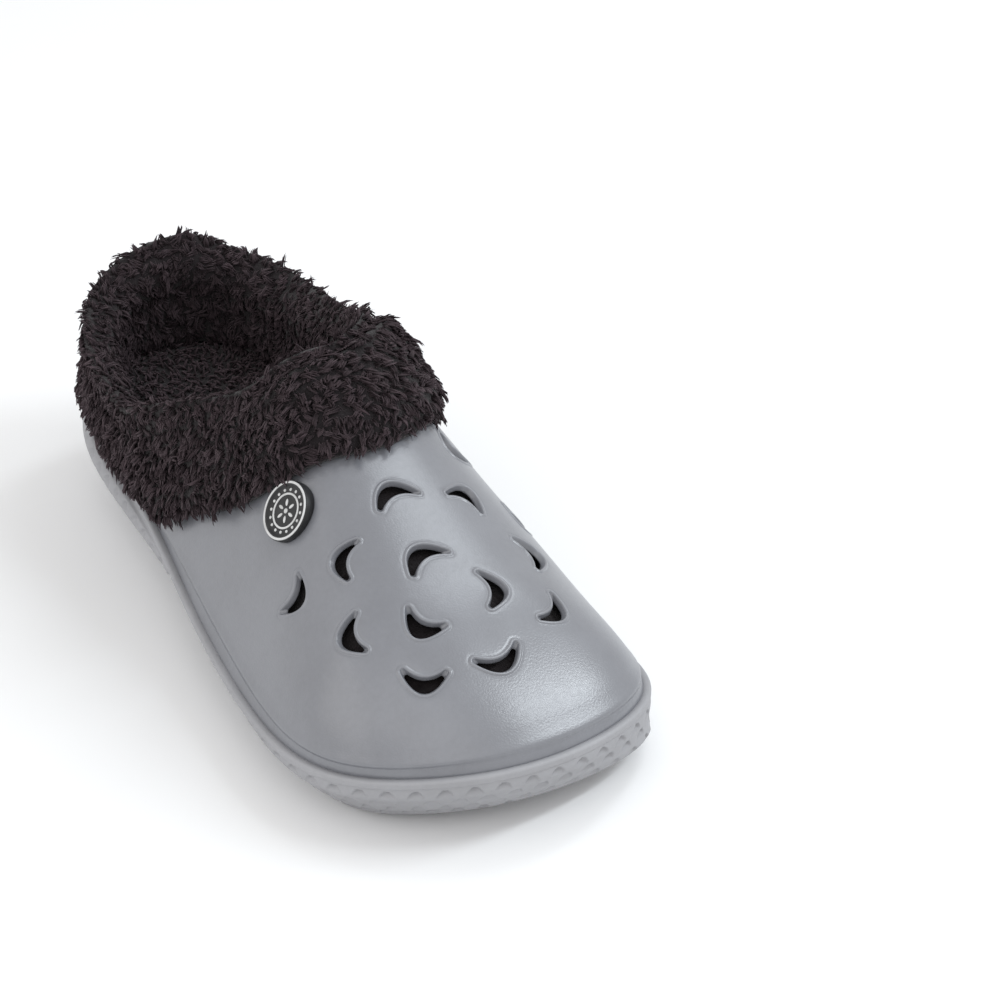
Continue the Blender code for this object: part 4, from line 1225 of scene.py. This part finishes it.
for kind, label in enumerate(ZONES):
    chosen = np.flatnonzero(zone == kind)
    again = np.repeat(chosen, STRANDS_A_LOCK)
    number = len(again)
    beside = np.tile(np.arange(STRANDS_A_LOCK) - (STRANDS_A_LOCK - 1) / 2, len(chosen)) * STRAND_STEP
    beside = beside + random.normal(0, STRAND_ASIDE, number)
    onward = random.normal(0, STRAND_ALONG, number)
    sideways = unit(np.cross(lay[again], out[again]))
    strand_root = root[again] + sideways * beside[:, None] + lay[again] * onward[:, None]
    strands = {name: values[again] * random.uniform(*STRAND_SIZES, number) for name, values in sizes.items()}
    strands["curl"] = strands["curl"] - STRAND_GATHER * beside + random.normal(0, STRAND_CURL, number)
    new_locks(
        "cuff_locks_" + label, strand_root, out[again], lay[again], strands, STRAND_KNOTS,
        tone_and_painted_light[again] + random.uniform(-STRAND_TONE, STRAND_TONE, number),
    )
    number = len(chosen)
    sideways = unit(np.cross(out[chosen], lay[chosen]))
    aside, onward = random.normal(0, HAIR_STRAY, number), random.normal(0, HAIR_STRAY, number)
    hair_root = root[chosen] + sideways * aside[:, None] + lay[chosen] * onward[:, None]
    hair_lay = unit(lay[chosen] + sideways * random.normal(0, HAIR_TURN, number)[:, None])
    hairs = {
        "length": sizes["length"][chosen] * random.uniform(*HAIR_LENGTH, number),
        "lift": sizes["lift"][chosen] * random.uniform(*HAIR_LIFT, number),
        "girth": random.uniform(*HAIR_GIRTH, number) * MM,
        "curl": random.normal(0, HAIR_CURL, number),
        "twist": np.zeros(number),
    }
    new_locks(
        "cuff_hairs_" + label, hair_root, out[chosen], hair_lay, hairs, HAIR_KNOTS,
        tone_and_painted_light[chosen],
    )


# The badge
# A round button of black rubber pushed through the lateral side, with a raised white edge. Its face carries a
# plain white ring, dots and a rosette, all moulded on.

BADGE_PLACE = (-27.0 * MM, -32.0 * MM)
BADGE_SIDES = 96
BADGE_PATCH = 15.0           # its back follows the skin, fitted over this reach in millimetres
BADGE_GAP = 0.3
BADGE_BLACK = (0.012, 0.012, 0.013, 1.0)
BADGE_BLACK_WORN = (0.03, 0.03, 0.031, 1.0)
BADGE_WHITE = (0.62, 0.62, 0.62, 1.0)
BADGE_WHITE_WORN = (0.48, 0.48, 0.475, 1.0)
# Sections from the middle outwards or round a ring: radius and height over the skin, in millimetres
BADGE_BODY = columns(
    ("radius", "height"),
    (0.0, 1.9), (4.0, 1.9), (7.2, 1.9), (7.35, 1.95), (7.5, 2.3), (7.7, 2.45), (8.6, 2.45), (8.9, 2.3),
    (9.0, 2.0), (9.0, 1.2),
)
BADGE_BACK = columns(("radius", "height"), (9.0, 0.0), (6.0, 0.0), (3.0, 0.0), (0.0, 0.0))
RIM_RING = columns(
    ("radius", "height"),
    (8.0, 2.3), (8.03, 2.52), (8.15, 2.62), (8.4, 2.65), (8.6, 2.62), (8.72, 2.52), (8.75, 2.3), (8.4, 2.2),
)
FACE_RING = columns(
    ("radius", "height"),
    (4.75, 1.7), (4.78, 2.05), (4.95, 2.14), (5.2, 2.14), (5.36, 2.05), (5.4, 1.7), (5.1, 1.6),
)
DOT = columns(
    ("radius", "height"), (0.0, 2.16), (0.2, 2.15), (0.38, 2.08), (0.48, 1.95), (0.5, 1.6), (0.0, 1.6)
)
DOT_RING, DOTS, DOT_SIDES = 6.3, 16, 12
MIDDLE_STRETCH = 1.6         # of the dot in the middle
PETAL_RING, PETALS, PETAL_STRETCH = 2.5, 6, 2.2


def badge_rubber_finish(name, clean, worn):
    """Moulded rubber, a little cloudy and rubbed."""
    material, sockets, start = new_finish(name, Metallic=0.0, Specular_IOR_Level=0.45)
    here = start.node("TexCoord", out="Object")
    cloud = here.noise(scale=260.0, detail=4.0)
    feed(
        sockets,
        Base_Color=cloud.ramp(0.45, 0.8).mix(clean, worn),
        Roughness=0.38 + cloud * 0.2,
        Normal=here.noise(scale=2400.0, detail=2.0).bump(strength=0.3, distance=0.04 * MM),
    )
    return material


def circle(sides):
    """Points round a circle of radius one."""
    angle = np.arange(sides) / sides * 2 * math.pi
    return np.stack((np.cos(angle), np.sin(angle)), -1)


def turned(section, sides):
    """A section carried round the badge's axis: rows of level points and heights, in millimetres."""
    flat = section["radius"][:, None, None] * circle(sides)
    heights = np.broadcast_to(section["height"][:, None, None], flat.shape[:2] + (1,))
    return np.concatenate((flat, heights), -1)


def on_badge(points):
    """Points in the badge's own frame brought to its place on the upper."""
    return badge_middle + (points * MM) @ badge_frame


badge_middle, badge_axis = skin_frame(skin, *BADGE_PLACE)
badge_ahead = np.array((0.0, -1.0, 0.0))
badge_ahead = unit(badge_ahead - badge_axis * (badge_ahead @ badge_axis))
badge_frame = np.stack((badge_ahead, np.cross(badge_axis, badge_ahead), badge_axis))

near = skin[np.linalg.norm(skin - badge_middle, axis=1) < BADGE_PATCH * MM] - badge_middle
near = near @ badge_frame.T / MM
terms = powers(near[:, 0] / BADGE_PATCH, near[:, 1] / BADGE_PATCH)
found = np.linalg.lstsq(terms, near[:, 2], rcond=None)[0]
behind = turned(BADGE_BACK, BADGE_SIDES)
behind[..., 2] = powers(behind[..., 0] / BADGE_PATCH, behind[..., 1] / BADGE_PATCH) @ found + BADGE_GAP
rows = np.concatenate((turned(BADGE_BODY, BADGE_SIDES), behind))
badge_black = badge_rubber_finish("badge_black_rubber", BADGE_BLACK, BADGE_BLACK_WORN)
badge = new_piece("badge_body", on_badge(rows), grid_faces(*rows.shape[:2]), badge_black)
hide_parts("badge")

badge_white = badge_rubber_finish("badge_white_rubber", BADGE_WHITE, BADGE_WHITE_WORN)
for name, section in (("badge_rim", RIM_RING), ("badge_ring", FACE_RING)):
    rows = turned(section, BADGE_SIDES)
    new_piece(name, on_badge(rows), grid_faces(*rows.shape[:2], wrap=True), badge_white)
dot = turned(DOT, DOT_SIDES)
dots = DOT_RING * np.column_stack((circle(DOTS), np.zeros(DOTS)))[:, None, None] + dot
ahead = circle(PETALS)[:, None, None]
aside = ahead[..., ::-1] * (-1, 1)
petals = dot[..., :1] * PETAL_STRETCH * ahead + dot[..., 1:2] * aside + PETAL_RING * ahead
petals = np.concatenate((petals, np.broadcast_to(dot[..., 2:], petals.shape[:3] + (1,))), -1)
marks = np.concatenate((dots, petals, dot[None] * (MIDDLE_STRETCH, MIDDLE_STRETCH, 1.0)))
shift = np.arange(len(marks))[:, None, None] * dot.shape[0] * dot.shape[1]
faces = (grid_faces(*dot.shape[:2]) + shift).reshape(-1, 4)
new_piece("badge_rosette", on_badge(marks), faces, badge_white)


# The setting
# A plain pale floor, soft studio lights and the photographer's camera, above the toe on the lateral side.

CAMERA_AZIMUTH, CAMERA_ELEVATION = math.radians(-32.9788), math.radians(31.20384)
CAMERA_DISTANCE = 0.82558
CAMERA_ASIDE, CAMERA_UP = 0.05444, 0.04032     # so that the shoe stands where the photo has it
CAMERA_SINK = 0.006
FOCAL_LENGTH, SENSOR_WIDTH = 95.35, 36.0
FLOOR_HALF = 6.0
FLOOR_WHITE = (0.86, 0.86, 0.865, 1.0)
FLOOR_PALE = (0.9, 0.9, 0.9, 1.0)
LIGHT_COOL = (0.88, 0.95, 1.0)
LIGHT_WHITE = (1.0, 0.99, 0.98)
# Both ends of each strip light, what it is turned to, its width, power and colour
LIGHTS = {
    "front_light": ((0.36, -0.58, 0.98), (0.92, -0.31, 0.6), (0.01, -0.12, 0.03), 0.1, 4.2, LIGHT_COOL),
    "rear_light": ((0.4, 0.05, 1.1), (0.86, 0.26, 0.72), (0.01, -0.05, 0.06), 0.2, 1.9, LIGHT_COOL),
    "fill_light": ((-1.0, -0.75, 1.0), (-0.1, -0.75, 1.0), (0.0, 0.03, 0.05), 0.9, 1.8, LIGHT_WHITE),
    "left_light": ((-1.0, -0.4, 0.6), (-1.0, 0.6, 0.6), (0.0, 0.0, 0.05), 0.8, 2.4, LIGHT_WHITE),
}
SKY_WHITE, SKY_STRENGTH = (1.0, 1.0, 1.0, 1.0), 0.85

floor_finish, sockets, start = new_finish("studio_floor", Metallic=0.0, Specular_IOR_Level=0.2)
here = start.node("TexCoord", out="Object")
cloud = here.noise(scale=1.5, detail=2.0)
feed(sockets, Base_Color=cloud.mix(FLOOR_WHITE, FLOOR_PALE), Roughness=0.6 + cloud * 0.1)
mesh = bpy.data.meshes.new("floor")
corners = np.array(((-1, -1, 0), (1, -1, 0), (1, 1, 0), (-1, 1, 0))) * FLOOR_HALF
mesh.from_pydata(corners.tolist(), [], [(0, 1, 2, 3)])
mesh.materials.append(floor_finish)
floor = bpy.data.objects.new("floor", mesh)
bpy.context.scene.collection.objects.link(floor)


def posed(place, right, up, away):
    """A pose at this place with these three axes."""
    return Matrix.Translation(place) @ Matrix((right, up, away)).transposed().to_4x4()


def add_light(name, start, end, target, width, watts, colour):
    """A soft strip light from its start to its end, turned to a target."""
    start, end = Vector(start), Vector(end)
    light = bpy.data.lights.new(name, "AREA")
    light.shape = "RECTANGLE"
    light.size = (end - start).length
    light.size_y = width
    light.energy = watts
    light.color = colour
    lamp = bpy.data.objects.new(name, light)
    middle = (start + end) / 2
    back = (middle - Vector(target)).normalized()
    across = back.cross(end - start).normalized()
    lamp.matrix_world = posed(middle, across.cross(back), across, back)
    bpy.context.scene.collection.objects.link(lamp)


for name, settings in LIGHTS.items():
    add_light(name, *settings)

world = bpy.data.worlds.new("studio")
world.use_nodes = True
world.node_tree.nodes["Background"].inputs["Color"].default_value = SKY_WHITE
world.node_tree.nodes["Background"].inputs["Strength"].default_value = SKY_STRENGTH
bpy.context.scene.world = world
bpy.context.scene.view_settings.view_transform = "Standard"

right = Vector((math.cos(CAMERA_AZIMUTH), math.sin(CAMERA_AZIMUTH), 0.0))
away = Vector((
    math.sin(CAMERA_AZIMUTH) * math.cos(CAMERA_ELEVATION),
    -math.cos(CAMERA_AZIMUTH) * math.cos(CAMERA_ELEVATION),
    math.sin(CAMERA_ELEVATION),
))
up = away.cross(right)
place = away * CAMERA_DISTANCE + right * CAMERA_ASIDE + up * CAMERA_UP
place = place + Vector(CENTRE) - Vector((0, 0, CAMERA_SINK))
camera = bpy.data.objects.new("camera", bpy.data.cameras.new("camera"))
camera.data.sensor_width = SENSOR_WIDTH
camera.data.lens = FOCAL_LENGTH
camera.matrix_world = posed(place, right, up, away)
bpy.context.scene.collection.objects.link(camera)
bpy.context.scene.camera = camera
